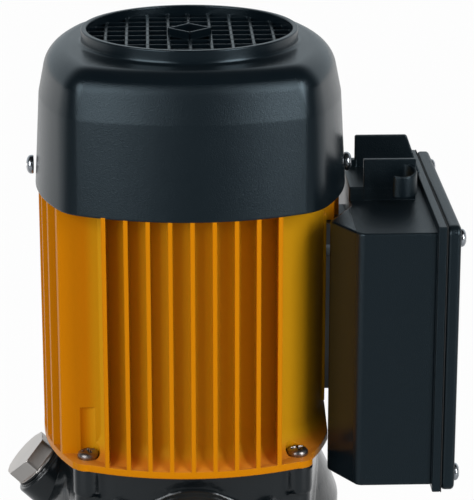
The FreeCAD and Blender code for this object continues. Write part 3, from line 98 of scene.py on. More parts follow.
class Wiring:
    """A node tree under construction."""

    def __init__(self, tree: Tree) -> None:
        """Take the tree that nodes are added to."""
        self.tree = tree

    def feed(self, target: Socket, source: object) -> None:
        """Join an input to a socket, or give it a value.

        Args:
            target: the input.
            source: a socket, a number, a vector or a colour without its alpha.
        """
        if isinstance(source, Socket):
            self.tree.links.new(source, target)
        elif target.type == "RGBA":
            target.default_value = (*source, 1.0)
        else:
            target.default_value = source

    def node(self, kind: str, inputs: dict[str | int, object] | None = None,
             **settings: object) -> Node:
        """Add a node, set its properties and feed its inputs.

        Args:
            kind: the node's type name, less the ShaderNode at its front.
            inputs: input names or numbers, and the sockets or values that they get.
            settings: property names and values.

        Returns:
            The new node.
        """
        node = self.tree.nodes.new("ShaderNode" + kind)
        for key, setting in settings.items():
            setattr(node, key, setting)
        for key, source in (inputs or {}).items():
            self.feed(node.inputs[key], source)
        return node

    def math(self, operation: str, *terms: object, clamp: bool = False) -> Socket:
        """Return what a math node makes of values or sockets."""
        return self.node("Math", dict(enumerate(terms)), operation=operation,
                         use_clamp=clamp).outputs[0]

    def share(self, operation: str, *terms: object) -> Socket:
        """Return what a math node makes of values or sockets, kept from 0 to 1."""
        return self.math(operation, *terms, clamp=True)

    def part(self, source: Socket, axis: str) -> Socket:
        """Return one coordinate of a vector."""
        return self.node("SeparateXYZ", {0: source}).outputs[axis]

    def ramp(self, source: Socket, reach: Sequence[object], levels: Sequence[object],
             smooth: bool = True) -> Socket:
        """Make a value that goes from one level to another.

        Args:
            source: the value that it follows.
            reach: where, along the source, it starts and stops to change.
            levels: its levels before the start and after the end.
            smooth: whether it starts and stops gently.

        Returns:
            The value's socket.
        """
        names = ("From Min", "From Max", "To Min", "To Max")
        inputs = {"Value": source, **dict(zip(names, (*reach, *levels)))}
        kind = "SMOOTHSTEP" if smooth else "LINEAR"
        return self.node("MapRange", inputs, interpolation_type=kind).outputs["Result"]

    def blend(self, mask: Socket, low: object, high: object) -> Socket:
        """Mix two colours, or colour sockets, by a mask, and return the mixed colour."""
        return self.node("Mix", {0: mask, 6: low, 7: high}, data_type="RGBA").outputs[2]

    def choose(self, mask: Socket, low: object, high: object) -> Socket:
        """Mix two values, or value sockets, by a mask, and return the mixed value."""
        return self.node("Mix", {0: mask, 2: low, 3: high}, data_type="FLOAT").outputs[0]


class Finish(Wiring):
    """A material with one Principled shader, and the effect groups that materials share."""

    groups: dict[str, Tree] = {}

    def __init__(self, name: str) -> None:
        """Start a material.

        Args:
            name: the material's name.
        """
        self.material = bpy.data.materials.new(name)
        self.material.use_nodes = True
        super().__init__(self.material.node_tree)
        self.shader = self.tree.nodes["Principled BSDF"]

    def dress(self, inputs: dict[str, object]) -> None:
        """Feed the shader's inputs, by name."""
        for name, source in inputs.items():
            self.feed(self.shader.inputs[name], source)

    def effect(self, name: str, **inputs: float) -> bpy.types.NodeOutputs:
        """Place a shared effect group with its own values.

        Args:
            name: the group's name in EFFECTS.
            inputs: input socket names, with underscores for spaces, and their values.

        Returns:
            The group's outputs.
        """
        if name not in self.groups:
            self.groups[name] = EFFECTS[name]()
        named = {socket.replace("_", " "): number for socket, number in inputs.items()}
        return self.node("Group", named, node_tree=self.groups[name]).outputs

    def gloss(self, mottle: Socket, roughness: float, sway: float) -> Socket:
        """Return a roughness that sways by a share of itself with the mottling."""
        levels = (roughness * (1 - sway), roughness * (1 + sway))
        return self.ramp(mottle, (0.0, 1.0), levels, smooth=False)

    def relief(self, height: Socket, depth: float, strength: float, normal: Socket) -> None:
        """Feed the shader's normal from a height.

        Args:
            height: the height mask.
            depth: what a height of 1 stands for, in metres.
            strength: how much of the relief shows.
            normal: the normal that the relief is laid over.
        """
        bump = self.node("Bump", {"Strength": strength, "Distance": depth, "Height": height,
                                  "Normal": normal})
        self.dress({"Normal": bump.outputs["Normal"]})


class EffectGroup(Wiring):
    """A shader node group with named sockets, under construction."""

    def __init__(self, name: str, inputs: dict[str, float], outputs: dict[str, str]) -> None:
        """Make the group and its sockets.

        Args:
            name: the group's name.
            inputs: float input names and defaults.
            outputs: output names and their kinds, Float or Vector.
        """
        super().__init__(bpy.data.node_groups.new(name, "ShaderNodeTree"))
        for socket, number in inputs.items():
            made = self.tree.interface.new_socket(socket, in_out="INPUT",
                                                  socket_type="NodeSocketFloat")
            made.default_value = number
        for socket, kind in outputs.items():
            self.tree.interface.new_socket(socket, in_out="OUTPUT",
                                           socket_type="NodeSocket" + kind)
        self.inputs = self.tree.nodes.new("NodeGroupInput").outputs
        self.outputs = self.tree.nodes.new("NodeGroupOutput").inputs

    def close(self, **outputs: Socket) -> Tree:
        """Feed the group's outputs.

        Args:
            outputs: output names and the sockets that feed them.

        Returns:
            The group's tree.
        """
        for name, source in outputs.items():
            self.feed(self.outputs[name], source)
        return self.tree

    def noise(self, scale: object, detail: float, rough: float = 0.5,
              stretch: Triple = (1, 1, 1)) -> Socket:
        """Noise over the object's own coordinates.

        Args:
            scale: a scale or a socket that gives it.
            detail: octaves.
            rough: how strong the fine octaves are.
            stretch: how much the pattern is compressed along each axis.

        Returns:
            The noise value.
        """
        place = self.node("TexCoord").outputs["Object"]
        place = self.node("Mapping", {"Vector": place, "Scale": stretch}).outputs["Vector"]
        inputs = {"Vector": place, "Scale": scale, "Detail": detail, "Roughness": rough}
        return self.node("TexNoise", inputs).outputs["Fac"]


def grain_group() -> Tree:
    """Fine moulded grain as a height, with slow mottling beside it.

    Returns:
        The group's tree.
    """
    group = EffectGroup("moulded_grain", {"Scale": 900.0, "Mottle Scale": 30.0},
                        {"Height": "Float", "Mottle": "Float"})
    return group.close(Height=group.noise(group.inputs["Scale"], detail=3.0, rough=0.65),
                       Mottle=group.noise(group.inputs["Mottle Scale"], detail=4.0))


def edge_group() -> Tree:
    """Rounded normals at hard edges, and a broken mask along those edges.

    Returns:
        The group's tree.
    """
    group = EffectGroup("worn_edges", {"Radius": 0.0006, "Scale": 220.0, "Amount": 1.0,
                                       "Breadth": 9.0, "Gap": 0.42},
                        {"Normal": "Vector", "Mask": "Float"})
    bevel = group.node("Bevel", {"Radius": group.inputs["Radius"]}, samples=BEVEL_SAMPLES)
    rounded = bevel.outputs["Normal"]
    flat = group.node("NewGeometry").outputs["Normal"]
    likeness = group.node("VectorMath", {0: rounded, 1: flat}, operation="DOT_PRODUCT")
    turn = group.share("SUBTRACT", 1.0, likeness.outputs["Value"])
    broad = group.share("MULTIPLY", turn, group.inputs["Breadth"])
    spots = group.share("SUBTRACT", group.noise(group.inputs["Scale"], detail=4.0),
                        group.inputs["Gap"])
    broken = group.share("MULTIPLY", broad, group.share("MULTIPLY", spots, SPOT_CONTRAST))
    return group.close(Mask=group.share("MULTIPLY", broken, group.inputs["Amount"]),
                       Normal=rounded)


def dust_group() -> Tree:
    """A mask of thin dust on what faces up, broken by noise.

    Returns:
        The group's tree.
    """
    group = EffectGroup("settled_dust", {"Scale": 60.0, "Amount": 0.3}, {"Mask": "Float"})
    lift = group.part(group.node("NewGeometry").outputs["Normal"], "Z")
    level = group.share("POWER", group.share("MAXIMUM", lift, 0.0), DUST_STEEPNESS)
    spots = group.noise(group.inputs["Scale"], detail=6.0, rough=0.6)
    patchy = group.share("MULTIPLY", level, spots)
    return group.close(Mask=group.share("MULTIPLY", patchy, group.inputs["Amount"]))


def fin_shade_group() -> Tree:
    """A mask for painted shade: 1 near the motor's tube, deep between the fins where they shade
    each other, and 0 at their tips.

    Returns:
        The group's tree.
    """
    group = EffectGroup("fin_painted_shade", {"Deep": 0.0622, "Tip": 0.0665}, {"Mask": "Float"})
    place = group.node("TexCoord").outputs["Object"]
    flat = group.node("VectorMath", {0: place, 1: (1.0, 1.0, 0.0)}, operation="MULTIPLY")
    reach = group.node("VectorMath", {0: flat.outputs["Vector"]}, operation="LENGTH")
    return group.close(Mask=group.ramp(reach.outputs["Value"], (group.inputs["Deep"],
                                                                group.inputs["Tip"]), (1.0, 0.0)))


def panel_group() -> Tree:
    """A mask that is 1 where the grain is coarse: the cowl's two panels and the terminal box.

    Returns:
        The group's tree.
    """
    group = EffectGroup("grained_panel", {"Half Width": 0.0505, "Foot": 0.3630, "Crease": 0.407,
                                          "Top": 0.4250, "Narrowing": 0.0045, "Ease": 0.0016,
                                          "Box": 0.0715}, {"Mask": "Float"})
    sizes = group.inputs
    place = group.node("TexCoord").outputs["Object"]
    across, rise = group.math("ABSOLUTE", group.part(place, "X")), group.part(place, "Z")
    narrow = group.ramp(rise, (sizes["Crease"], sizes["Top"]), (0.0, sizes["Narrowing"]),
                        smooth=False)
    edge = group.math("SUBTRACT", sizes["Half Width"], narrow)
    mask: object = 1.0
    for more, less in ((edge, across), (sizes["Top"], rise), (rise, sizes["Foot"])):
        inside = group.share("DIVIDE", group.math("SUBTRACT", more, less), sizes["Ease"])
        mask = group.share("MULTIPLY", mask, inside)
    box = group.math("GREATER_THAN", across, sizes["Box"])
    return group.close(Mask=group.share("MAXIMUM", mask, box))


def brushed_group() -> Tree:
    """Fine lines that run round the shaft's axis, as a brushed or turned surface has.

    Returns:
        The group's tree.
    """
    group = EffectGroup("brushed_lines", {"Scale": 90.0}, {"Height": "Float"})
    return group.close(Height=group.noise(group.inputs["Scale"], detail=6.0, rough=0.7,
                                          stretch=(0.6, 0.6, 45.0)))


EFFECTS: dict[str, Callable[[], Tree]] = {
    "grain": grain_group, "edges": edge_group, "dust": dust_group, "brushed": brushed_group,
    # depth gives the mask for the painted shade between the motor's fins.
    "depth": fin_shade_group, "panel": panel_group,
}


@dataclass(frozen=True)
class Paint:
    """A sprayed or dipped coat over cast metal."""

    slot: Slot
    colour: Triple
    shade: Triple
    roughness: float
    coat: float
    bare: Triple
    wear: float
    # deep: a painted shade tone for the hollows between the fins, where shade falls.
    deep: Triple | None = None
    tint: Triple = (1.0, 1.0, 1.0)
    level: float = 0.5
    peel_scale: float = 260.0
    peel_depth: float = 0.00012
    peel_strength: float = 0.35
    mottle_scale: float = 22.0
    sway: float = 0.15
    dust_scale: float = 45.0
    dust: float = 0.10
    coat_roughness: float = 0.12
    edge_radius: float = 0.0007

    def build(self) -> bpy.types.Material:
        """Make the paint: orange peel, slow drift of tone, thin spots along the edges, and, where a
        deep colour is given, a yellower painted shade tone between the fins.

        Returns:
            The material.
        """
        finish = Finish(self.slot.value)
        grain = finish.effect("grain", Scale=self.peel_scale,
                               Mottle_Scale=self.mottle_scale)
        edges = finish.effect("edges", Radius=self.edge_radius, Amount=self.wear)
        dust = finish.effect("dust", Scale=self.dust_scale, Amount=self.dust)
        tone = finish.blend(grain["Mottle"], self.shade, self.colour)
        # Painted shade: the deep tone is laid where the fins shade each other.
        if self.deep is not None:
            tone = finish.blend(finish.effect("depth")["Mask"], tone, self.deep)
        worn = finish.blend(edges["Mask"], tone, self.bare)
        finish.dress({"Base Color": finish.blend(dust["Mask"], worn, WARM_DUST),
                      "Roughness": finish.gloss(grain["Mottle"], self.roughness, self.sway),
                      "Coat Weight": self.coat, "Coat Roughness": self.coat_roughness,
                      "Specular Tint": self.tint, "Specular IOR Level": self.level})
        finish.relief(grain["Height"], self.peel_depth, self.peel_strength,
                      edges["Normal"])
        return finish.material


@dataclass(frozen=True)
class Moulding:
    """A moulded polymer with a fine spark-eroded grain."""

    slot: Slot
    colour: Triple
    scuffed: Triple
    roughness: float
    tint: Triple = (1.0, 1.0, 1.0)
    grain_scale: float = 1500.0
    grain_depth: float = 0.00016
    grain_strength: float = 0.5
    grain_tone_and_sheen: float = 1.4
    mottle_scale: float = 28.0
    sway: float = 0.12
    wear: float = 0.35
    wear_scale: float = 160.0
    dust_scale: float = 90.0
    dust: float = 0.12
    edge_radius: float = 0.0006
    panel: float = 0.0
    panel_scale: float = 1.15
    panel_grain: Pair = (0.25, 1.0)

    def build(self) -> bpy.types.Material:
        """Make the moulding: grain whose paler peaks are partly painted highlight, paler rubbed
        edges and a little dust on top.

        Returns:
            The material.
        """
        finish = Finish(self.slot.value)
        grain = finish.effect("grain", Scale=self.grain_scale,
                               Mottle_Scale=self.mottle_scale)
        edges = finish.effect("edges", Radius=self.edge_radius, Amount=self.wear,
                              Scale=self.wear_scale)
        dust = finish.effect("dust", Scale=self.dust_scale, Amount=self.dust)
        # Paler grain peaks: partly the grain's own tone, partly a painted highlight on the grain.
        pale = tuple(self.grain_tone_and_sheen * part for part in self.colour)
        worn = finish.blend(edges["Mask"], finish.blend(grain["Height"], self.colour, pale),
                            self.scuffed)
        gloss = finish.gloss(grain["Mottle"], self.roughness, self.sway)
        height = grain["Height"]
        if self.panel > 0:
            zone = finish.effect("panel")["Mask"]
            gloss = finish.math("MULTIPLY_ADD", zone, self.panel, gloss)
            coarse = finish.effect("grain", Scale=self.grain_scale * self.panel_scale)["Height"]
            depth = finish.ramp(zone, (0.0, 1.0), self.panel_grain, smooth=False)
            height = finish.math("MULTIPLY", depth, coarse)
        finish.dress({"Base Color": finish.blend(dust["Mask"], worn, GREY_DUST),
                      "Roughness": gloss, "Specular Tint": self.tint})
        finish.relief(height, self.grain_depth, self.grain_strength, edges["Normal"])
        return finish.material


@dataclass(frozen=True)
class Metal:
    """A bare, plated or turned metal."""

    slot: Slot
    colour: Triple
    dull: Triple
    roughness: float
    brushed: float = 0.0
    line_depth: float = 0.0002
    grain_scale: float = 700.0
    grain_depth: float = 0.00005
    grain_strength: float = 0.2
    mottle_scale: float = 55.0
    sway: float = -0.25
    edge_radius: float = 0.0004

    def build(self) -> bpy.types.Material:
        """Make the metal: drift of tone and gloss, with turned or brushed lines if asked.

        Returns:
            The material.
        """
        finish = Finish(self.slot.value)
        grain = finish.effect("grain", Scale=self.grain_scale,
                               Mottle_Scale=self.mottle_scale)
        edges = finish.effect("edges", Radius=self.edge_radius, Amount=0.0)
        finish.dress({"Metallic": 1.0,
                      "Base Color": finish.blend(grain["Mottle"], self.dull, self.colour),
                      "Roughness": finish.gloss(grain["Mottle"], self.roughness, self.sway)})
        if self.brushed > 0:
            lines = finish.effect("brushed")["Height"]
            finish.relief(lines, self.line_depth, self.brushed, edges["Normal"])
        else:
            finish.relief(grain["Height"], self.grain_depth, self.grain_strength,
                          edges["Normal"])
        return finish.material


FINISHES = (
    # The orange's deep colour is painted shade for the grooves between the fins.
    Paint(Slot.ORANGE_PAINT, (0.66, 0.210, 0.002), (0.61, 0.195, 0.0015), 0.36, 0.0,
          (0.84, 0.34, 0.03), 0.2, deep=(0.66, 0.305, 0.007), tint=(1.0, 0.62, 0.08),
          level=0.35),
    Paint(Slot.BLACK_ENAMEL, (0.0030, 0.0052, 0.0068), (0.0022, 0.0040, 0.0052), 0.20, 0.5,
          (0.03, 0.034, 0.037), 0.3, peel_scale=150.0, peel_depth=0.0007, edge_radius=0.0009),
    Moulding(Slot.BLACK_MOULDING, (0.0022, 0.0046, 0.0065), (0.016, 0.022, 0.026), 0.24,
             tint=(0.72, 0.90, 1.0), grain_depth=0.00014, grain_strength=1.0, dust=0.02,
             panel=0.05),
    Moulding(Slot.RUBBER, (0.012, 0.012, 0.012), (0.03, 0.03, 0.03), 0.72, dust=0.2),
    Moulding(Slot.CARBON, (0.018, 0.018, 0.020), (0.06, 0.06, 0.06), 0.30),
    Moulding(Slot.FIBRE, (0.22, 0.055, 0.030), (0.30, 0.12, 0.08), 0.70),
    Moulding(Slot.WHITE_PLASTIC, (0.62, 0.62, 0.58), (0.70, 0.70, 0.66), 0.35),
    Metal(Slot.STAINLESS, (0.62, 0.62, 0.62), (0.52, 0.52, 0.53), 0.26, brushed=0.35),
    Metal(Slot.ZINC_STEEL, (0.66, 0.67, 0.69), (0.50, 0.51, 0.54), 0.24),
    Metal(Slot.DARK_STEEL, (0.34, 0.305, 0.29), (0.24, 0.215, 0.205), 0.34),
    Metal(Slot.PLATED_BRASS, (0.86, 0.79, 0.74), (0.78, 0.71, 0.66), 0.30),
    # Darkened well below aluminium's own colour: partly the adapter neck's own dark colour, partly
    # painted shade, as the neck lies in shade.
    Metal(Slot.BARE_ALUMINIUM, (0.30, 0.32, 0.335), (0.23, 0.245, 0.26), 0.5),
    Metal(Slot.COPPER, (0.72, 0.33, 0.16), (0.55, 0.22, 0.09), 0.35),
    Metal(Slot.CORE_STEEL, (0.34, 0.35, 0.37), (0.24, 0.25, 0.27), 0.38),
)


class Palette:
    """The built materials, by slot."""

    sharp_angle: float = 28.0

    def __init__(self, finishes: Iterable[Paint | Moulding | Metal]) -> None:
        """Build every finish once."""
        self.materials = {finish.slot: finish.build() for finish in finishes}

    def dress_node(self, node: bpy.types.Object, slot: Slot) -> None:
        """Give a CAD node its finish, and smooth shading across its curved faces.

        Args:
            node: the node's object.
            slot: its material slot.
        """
        node.data.materials.clear()
        node.data.materials.append(self.materials[slot])
        for face in node.data.polygons:
            face.material_index = 0
        node.data.shade_smooth()
        node.data.set_sharp_from_angle(angle=math.radians(self.sharp_angle))

    def dress_frame(self) -> None:
        """Give every CAD node the finish that the record names for it."""
        for entry in frame["record"]["subparts"]:
            self.dress_node(frame["nodes"][entry["node"]], Slot(entry["material_slot"]))
        LOG.info("dressed %d nodes", len(frame["nodes"]))


class Workpiece:
    """A mesh under construction, in millimetres in the object's own frame."""

    corner_segments: int = 6
    rounded_angle: float = 35.0

    def __init__(self) -> None:
        """Start with an empty mesh."""
        self.mesh = bmesh.new()

    def absorb(self, other: bmesh.types.BMesh) -> None:
        """Add another mesh's faces and free it.

        Args:
            other: the mesh to take in.
        """
        held = bpy.data.meshes.new("held")
        other.to_mesh(held)
        other.free()
        self.mesh.from_mesh(held)
        bpy.data.meshes.remove(held)

    def prism(self, outline: Sequence[Pair], turn: Matrix, low: float, high: float,
              rounding: float = 0.4, corner: float = 0.0, segments: int = 3) -> None:
        """Add a block pushed out of an outline, with its corners and then its edges rounded.

        Args:
            outline: the outline's corners in its own plane.
            turn: where that plane's X, Y and normal go.
            low: where the block starts along the normal.
            high: where it ends.
            rounding: the radius of its edges.
            corner: the radius of the outline's corners.
            segments: how many faces each rounding has.
        """
        block = bmesh.new()
        foot = [block.verts.new((x, y, low)) for x, y in outline]
        top = [block.verts.new((x, y, high)) for x, y in outline]
        block.faces.new(list(reversed(foot)))
        block.faces.new(top)
        join_rings(block, foot, top)
        bmesh.ops.recalc_face_normals(block, faces=block.faces[:])
        if corner > 0:
            edges = [block.edges.get(pair) for pair in zip(foot, top)]
            bmesh.ops.bevel(block, geom=edges, offset=corner, offset_type="OFFSET",
                            segments=self.corner_segments, profile=0.5, affect="EDGES",
                            clamp_overlap=True)
        if rounding > 0:
            least = math.radians(self.rounded_angle)
            sharp = [edge for edge in block.edges if edge.calc_face_angle(0) > least]
            bmesh.ops.bevel(block, geom=sharp, offset=rounding, offset_type="OFFSET",
                            segments=segments, profile=0.5, affect="EDGES", clamp_overlap=True)
        block.transform(turn)
        self.absorb(block)

    def block(self, low: Sequence[float], high: Sequence[float], rounding: float = 0.4,
              corner: float = 0.0) -> None:
        """Add an upright block between two corners."""
        outline = rectangle(low[0], low[1], high[0], high[1])
        self.prism(outline, Matrix(), low[2], high[2], rounding, corner)

    def lathe(self, profile: Sequence[Pair], place: Vector, way: Vector, steps: int) -> None:
        """Add a closed turned form.

        Args:
            profile: radius and height of each ring; the first and last may be on the axis.
            place: where the axis starts.
            way: where the axis points.
            steps: how many faces go round.
        """
        rows = [circle(radius, height, steps) for radius, height in profile]
        self.skin(rows, turn=Matrix.Translation(place) @ facing(way))

    def skin(self, rows: Sequence[Sequence[Triple]], closed: bool = False, capped: bool = False,
             turn: Matrix | None = None) -> None:
        """Add a surface through rows of points that each go once round.

        Args:
            rows: the rows, of one length each, apart from rows of a single point.
            closed: whether the last row joins the first.
            capped: whether the first row is filled with a face.
            turn: where the surface goes.
        """
        form = bmesh.new()
        rings = [[form.verts.new(point) for point in row] for row in rows]
        for lower, upper in zip(rings, rings[1:] + rings[:1] if closed else rings[1:]):
            join_rings(form, lower, upper)
        if capped:
            form.faces.new(list(reversed(rings[0])))
        bmesh.ops.recalc_face_normals(form, faces=form.faces[:])
        if turn is not None:
            form.transform(turn)
        self.absorb(form)

    def finish(self, name: str, body: Body, slot: Slot, palette: Palette,
               stands_for: Sequence[str] = (), sharp_angle: float = 38.0) -> bpy.types.Object:
        """Turn the mesh into a named, dressed piece that rides on a body.

        Args:
            name: the piece's name.
            body: the body that it rides on.
            slot: its material slot.
            palette: the built materials.
            stands_for: the CAD nodes that it replaces.
            sharp_angle: faces that meet at more than this many degrees keep a crisp edge.

        Returns:
            The new object.
        """
        self.mesh.transform(Matrix.Scale(MM, 4))
        mesh = bpy.data.meshes.new(name)
        self.mesh.to_mesh(mesh)
        self.mesh.free()
        return settle(name, mesh, body, slot, palette, stands_for, sharp_angle)


def settle(name: str, mesh: bpy.types.Mesh, body: Body, slot: Slot, palette: Palette,
           stands_for: Sequence[str], sharp_angle: float) -> bpy.types.Object:
    """Make an object of a finished mesh, dress it, hang it on its body and hide the CAD nodes that
    it stands for.

    Args:
        name: the piece's name.
        mesh: its mesh, in metres.
        body: the body that it rides on.
        slot: its material slot.
        palette: the built materials.
        stands_for: the CAD nodes that it replaces.
        sharp_angle: faces that meet at more than this many degrees keep a crisp edge.

    Returns:
        The new object.
    """
    mesh.materials.clear()
    mesh.materials.append(palette.materials[slot])
    mesh.shade_smooth()
    mesh.set_sharp_from_angle(angle=math.radians(sharp_angle))
    piece = put(name, mesh)
    normals = piece.modifiers.new("even_normals", "WEIGHTED_NORMAL")
    normals.keep_sharp = True
    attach(piece, body.value)
    if stands_for:
        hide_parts(*stands_for)
    LOG.info("%s: %d faces", name, len(mesh.polygons))
    return piece


def put(name: str, data: bpy.types.ID) -> bpy.types.Object:
    """Make an object of a mesh, lamp or camera and put it in the scene.

    Args:
        name: the object's name.
        data: the mesh, lamp or camera.

    Returns:
        The new object.
    """
    made = bpy.data.objects.new(name, data)
    bpy.context.scene.collection.objects.link(made)
    return made


def join_rings(form: bmesh.types.BMesh, lower: Sequence[bmesh.types.BMVert],
               upper: Sequence[bmesh.types.BMVert]) -> None:
    """Join two rings of vertices with faces.

    Args:
        form: the mesh that they are in.
        lower: the first ring, or one vertex as a pole.
        upper: the second ring, as long as the first, or one vertex as a pole.
    """
    count = max(len(lower), len(upper))
    for step in range(count):
        after = (step + 1) % count
        if len(lower) == 1:
            form.faces.new((lower[0], upper[after], upper[step]))
        elif len(upper) == 1:
            form.faces.new((lower[step], lower[after], upper[0]))
        else:
            form.faces.new((lower[step], lower[after], upper[after], upper[step]))


def circle(radius: float, level: float, steps: int) -> list[Triple]:
    """Make a level ring of points round the Z axis.

    Args:
        radius: its radius; 0 gives one point.
        level: its height.
        steps: how many points go round.

    Returns:
        The points.
    """
    if radius <= 0:
        return [(0.0, 0.0, level)]
    turns = [TURN * step / steps for step in range(steps)]
    return [(radius * math.cos(turn), radius * math.sin(turn), level) for turn in turns]


def rectangle(left: float, front: float, right: float, back: float) -> list[Pair]:
    """The corners of a rectangle in a plan, one after the other."""
    return [(left, front), (right, front), (right, back), (left, back)]


def facing(way: Vector) -> Matrix:
    """A turn that takes Z to a direction."""
    return way.normalized().to_track_quat("Z", "Y").to_matrix().to_4x4()


def box_mm(node: str) -> tuple[Vector, Vector]:
    """A node's lowest and highest corners, in millimetres."""
    low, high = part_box(node)
    return low / MM, high / MM


def arc(centre: Pair, radius: float, start: float, end: float, steps: int) -> list[Pair]:
    """Make points along an arc.

    Args:
        centre: the arc's centre.
        radius: its radius.
        start: the angle of its first point, in degrees.
        end: the angle of its last point, in degrees.
        steps: how many steps it has.

    Returns:
        The points, one more than the steps.
    """
    spots = []
    for step in range(steps + 1):
        angle = math.radians(start + (end - start) * step / steps)
        spots.append((centre[0] + radius * math.cos(angle), centre[1] + radius * math.sin(angle)))
    return spots


@dataclass
class FanCowl:
    """The moulded cowl over the fan: a rounded square with four creased faces, a rim and a grid."""

    foot_drop: float = 0.9
    foot_half: float = 70.35
    crease_half: float = 68.0
    lean: float = 0.20
    face_radii: Triple = (108.0, 115.0, 120.0)
    corner_radii: Triple = (21.0, 21.5, 16.5)
    crease: float = 41.4
    height: float = 62.9
    shoulder: float = 11.5
    offset: float = 0.45
    wall: float = 2.2
    lip: float = 0.35
    lip_share: float = 0.3
    crease_blend: float = 0.03
    crown: float = 0.35
    rim_radius: float = 48.6
    rim_inner: float = 46.2
    rim_height: float = 6.6
    rim_fillet: float = 1.6
    grid_bite: float = 0.4
    grid_pitch: float = 9.4
    grid_count: int = 9
    bar_wide: float = 1.5
    bar_thin: float = 0.9
    bar_round: Pair = (0.45, 0.22)
    grid_depth: float = 2.4
    grid_drop: float = 3.8
    hub_half: float = 7.0
    hub_wall: float = 1.0
    hub_rise: float = 3.4
    hub_drop: float = 1.4
    hub_round: float = 0.25
    quarter_steps: int = 60
    lower_rows: int = 9
    upper_rows: int = 6
    shoulder_rows: int = 18
    crown_rows: int = 5
    inside_foot: float = 1.3
    foot_thick: float = 0.9
    fillet_rows: tuple[Pair, ...] = ((0.35, 0.12), (0.08, 0.5), (0.0, 1.0))
    rim_edge: float = 0.5
    rim_edge_start: float = 20.0
    rim_edge_steps: int = 4
    crease_steps: tuple[float, ...] = (2.0, 1.1, 0.5, 0.2, 0.0, -0.2, -0.5, -1.1, -2.0)
    row_gap: float = 0.5
    sharp_angle: float = 50.0

    def build(self, palette: Palette) -> None:
        """Make the shell with its rim, and the grid.

        Args:
            palette: the built materials.
        """
        self.foot = box_mm("fan_cowl")[0].z
        work = Workpiece()
        work.skin(self.shell_rows(), closed=True)
        self.add_grid(work)
        work.finish("cowl_moulding", Body.ROOT, Slot.BLACK_MOULDING, palette, ["fan_cowl"],
                    self.sharp_angle)

    @property
    def shoulder_start(self) -> float:
        """The height above the foot at which the rounded top edge starts."""
        return self.height - self.shoulder + self.shoulder * math.sin(self.lean)

    def plan(self, rise: float) -> Triple:
        """Measure the plan at a height.

        Args:
            rise: the height above the foot.

        Returns:
            A face's distance from the axis, its radius and the corner's radius.
        """
        rise = min(rise, self.shoulder_start)
        lower = self.foot_half - (self.foot_half - self.crease_half) * rise / self.crease
        upper = self.crease_half - self.lean * (rise - self.crease)
        half = soft_min((lower, upper), self.crease_blend)
        share = rise / self.crease if rise < self.crease else 1.0
        over = max(rise - self.crease, 0.0) / (self.shoulder_start - self.crease)
        radii = []
        for foot, crease, top in (self.face_radii, self.corner_radii):
            radii.append(foot + (crease - foot) * share + (top - crease) * over)
        return half, radii[0], radii[1]

    def reach(self, turn: float, rise: float, inset: float) -> float:
        """How far the skin is from the axis.

        Args:
            turn: the angle from the nearest face's middle, up to an eighth of a turn.
            rise: the height above the foot.
            inset: how far inside the outer skin.

        Returns:
            The distance.
        """
        half, face, corner = self.plan(rise)
        back = face - half
        middle = (math.sqrt(2 * (face - corner) ** 2 - back ** 2) - back) / 2
        side = back * math.sin(turn)
        out = -back * math.cos(turn) + math.sqrt((face - inset) ** 2 - side ** 2)
        meeting = math.atan2(middle, back + middle)
        edge = (out * math.sin(turn), back + out * math.cos(turn))
        if math.atan2(*edge) <= meeting:
            return out
        away = TURN / 8 - turn
        slant = math.sqrt(2) * middle
        return slant * math.cos(away) + math.sqrt((corner - inset) ** 2
                                                  - (slant * math.sin(away)) ** 2)

    def skin_rows(self, wall: float) -> list[Pair]:
        """Place a skin's rows, from the foot to the flat top.

        Args:
            wall: how far the skin is inside the outer one.

        Returns:
            The height and inset of each row.
        """
        count = self.lower_rows
        rises = [self.crease * step / count for step in range(count)]
        rises = [rise for rise in rises if rise < self.crease - self.crease_steps[0] - self.row_gap]
        rises += [self.crease - step for step in self.crease_steps]
        last, count = rises[-1], self.upper_rows
        rises += [last + (self.shoulder_start - last) * step / count for step in range(1, count)]
        rows = [(rise, wall) for rise in rises]
        radius = self.shoulder - wall
        level = self.height - self.shoulder
        for step in range(self.shoulder_rows + 1):
            angle = self.lean + (TURN / 4 - self.lean) * step / self.shoulder_rows
            inset = self.shoulder * math.cos(self.lean) - radius * math.cos(angle)
            rows.append((level + radius * math.sin(angle), inset))
        return rows

    def shell_rows(self) -> list[list[Triple]]:
        """Lead rows of points over the outside, the rim and the inside.

        Returns:
            The rows of points.
        """
        outside = self.skin_rows(0.0)
        inside = self.skin_rows(self.wall)
        foot = -self.foot_drop
        seat = self.lip + self.foot_thick
        ease = self.lip * self.lip_share
        rows = [self.ring(foot, seat), self.ring(foot, self.lip),
                self.ring(foot + ease, ease), self.ring(foot + self.lip, 0.0)]
        rows += [self.ring(rise, inset) for rise, inset in outside]
        flat = self.rim_radius + self.rim_fillet
        for step in range(self.crown_rows):
            share = (step + 1) / self.crown_rows
            rows.append(self.ring(outside[-1][0], outside[-1][1], share, flat,
                                  self.crown * math.sin(share * TURN / 4)))
        top = self.height + self.crown
        rim = [(self.rim_radius + self.rim_fillet * out, top + self.rim_fillet * rise)
               for out, rise in self.fillet_rows]
        edge = self.rim_edge
        high = self.height + self.rim_height - edge
        rim += [(self.rim_radius, high)]
        count = self.rim_edge_steps
        rim += arc((self.rim_radius - edge, high), edge, self.rim_edge_start, 90, count)
        rim += arc((self.rim_inner + edge, high), edge, 90, 180, count)
        low = self.height - 2 * self.wall
        rim += [(self.rim_inner, low), (self.rim_inner + self.wall, low)]
        rows += [self.ring(rise, 0.0, 1.0, radius) for radius, rise in rim]
        rows += [self.ring(rise, inset) for rise, inset in reversed(inside)]
        rows += [self.ring(self.inside_foot, self.wall), self.ring(self.inside_foot, seat)]
        return rows

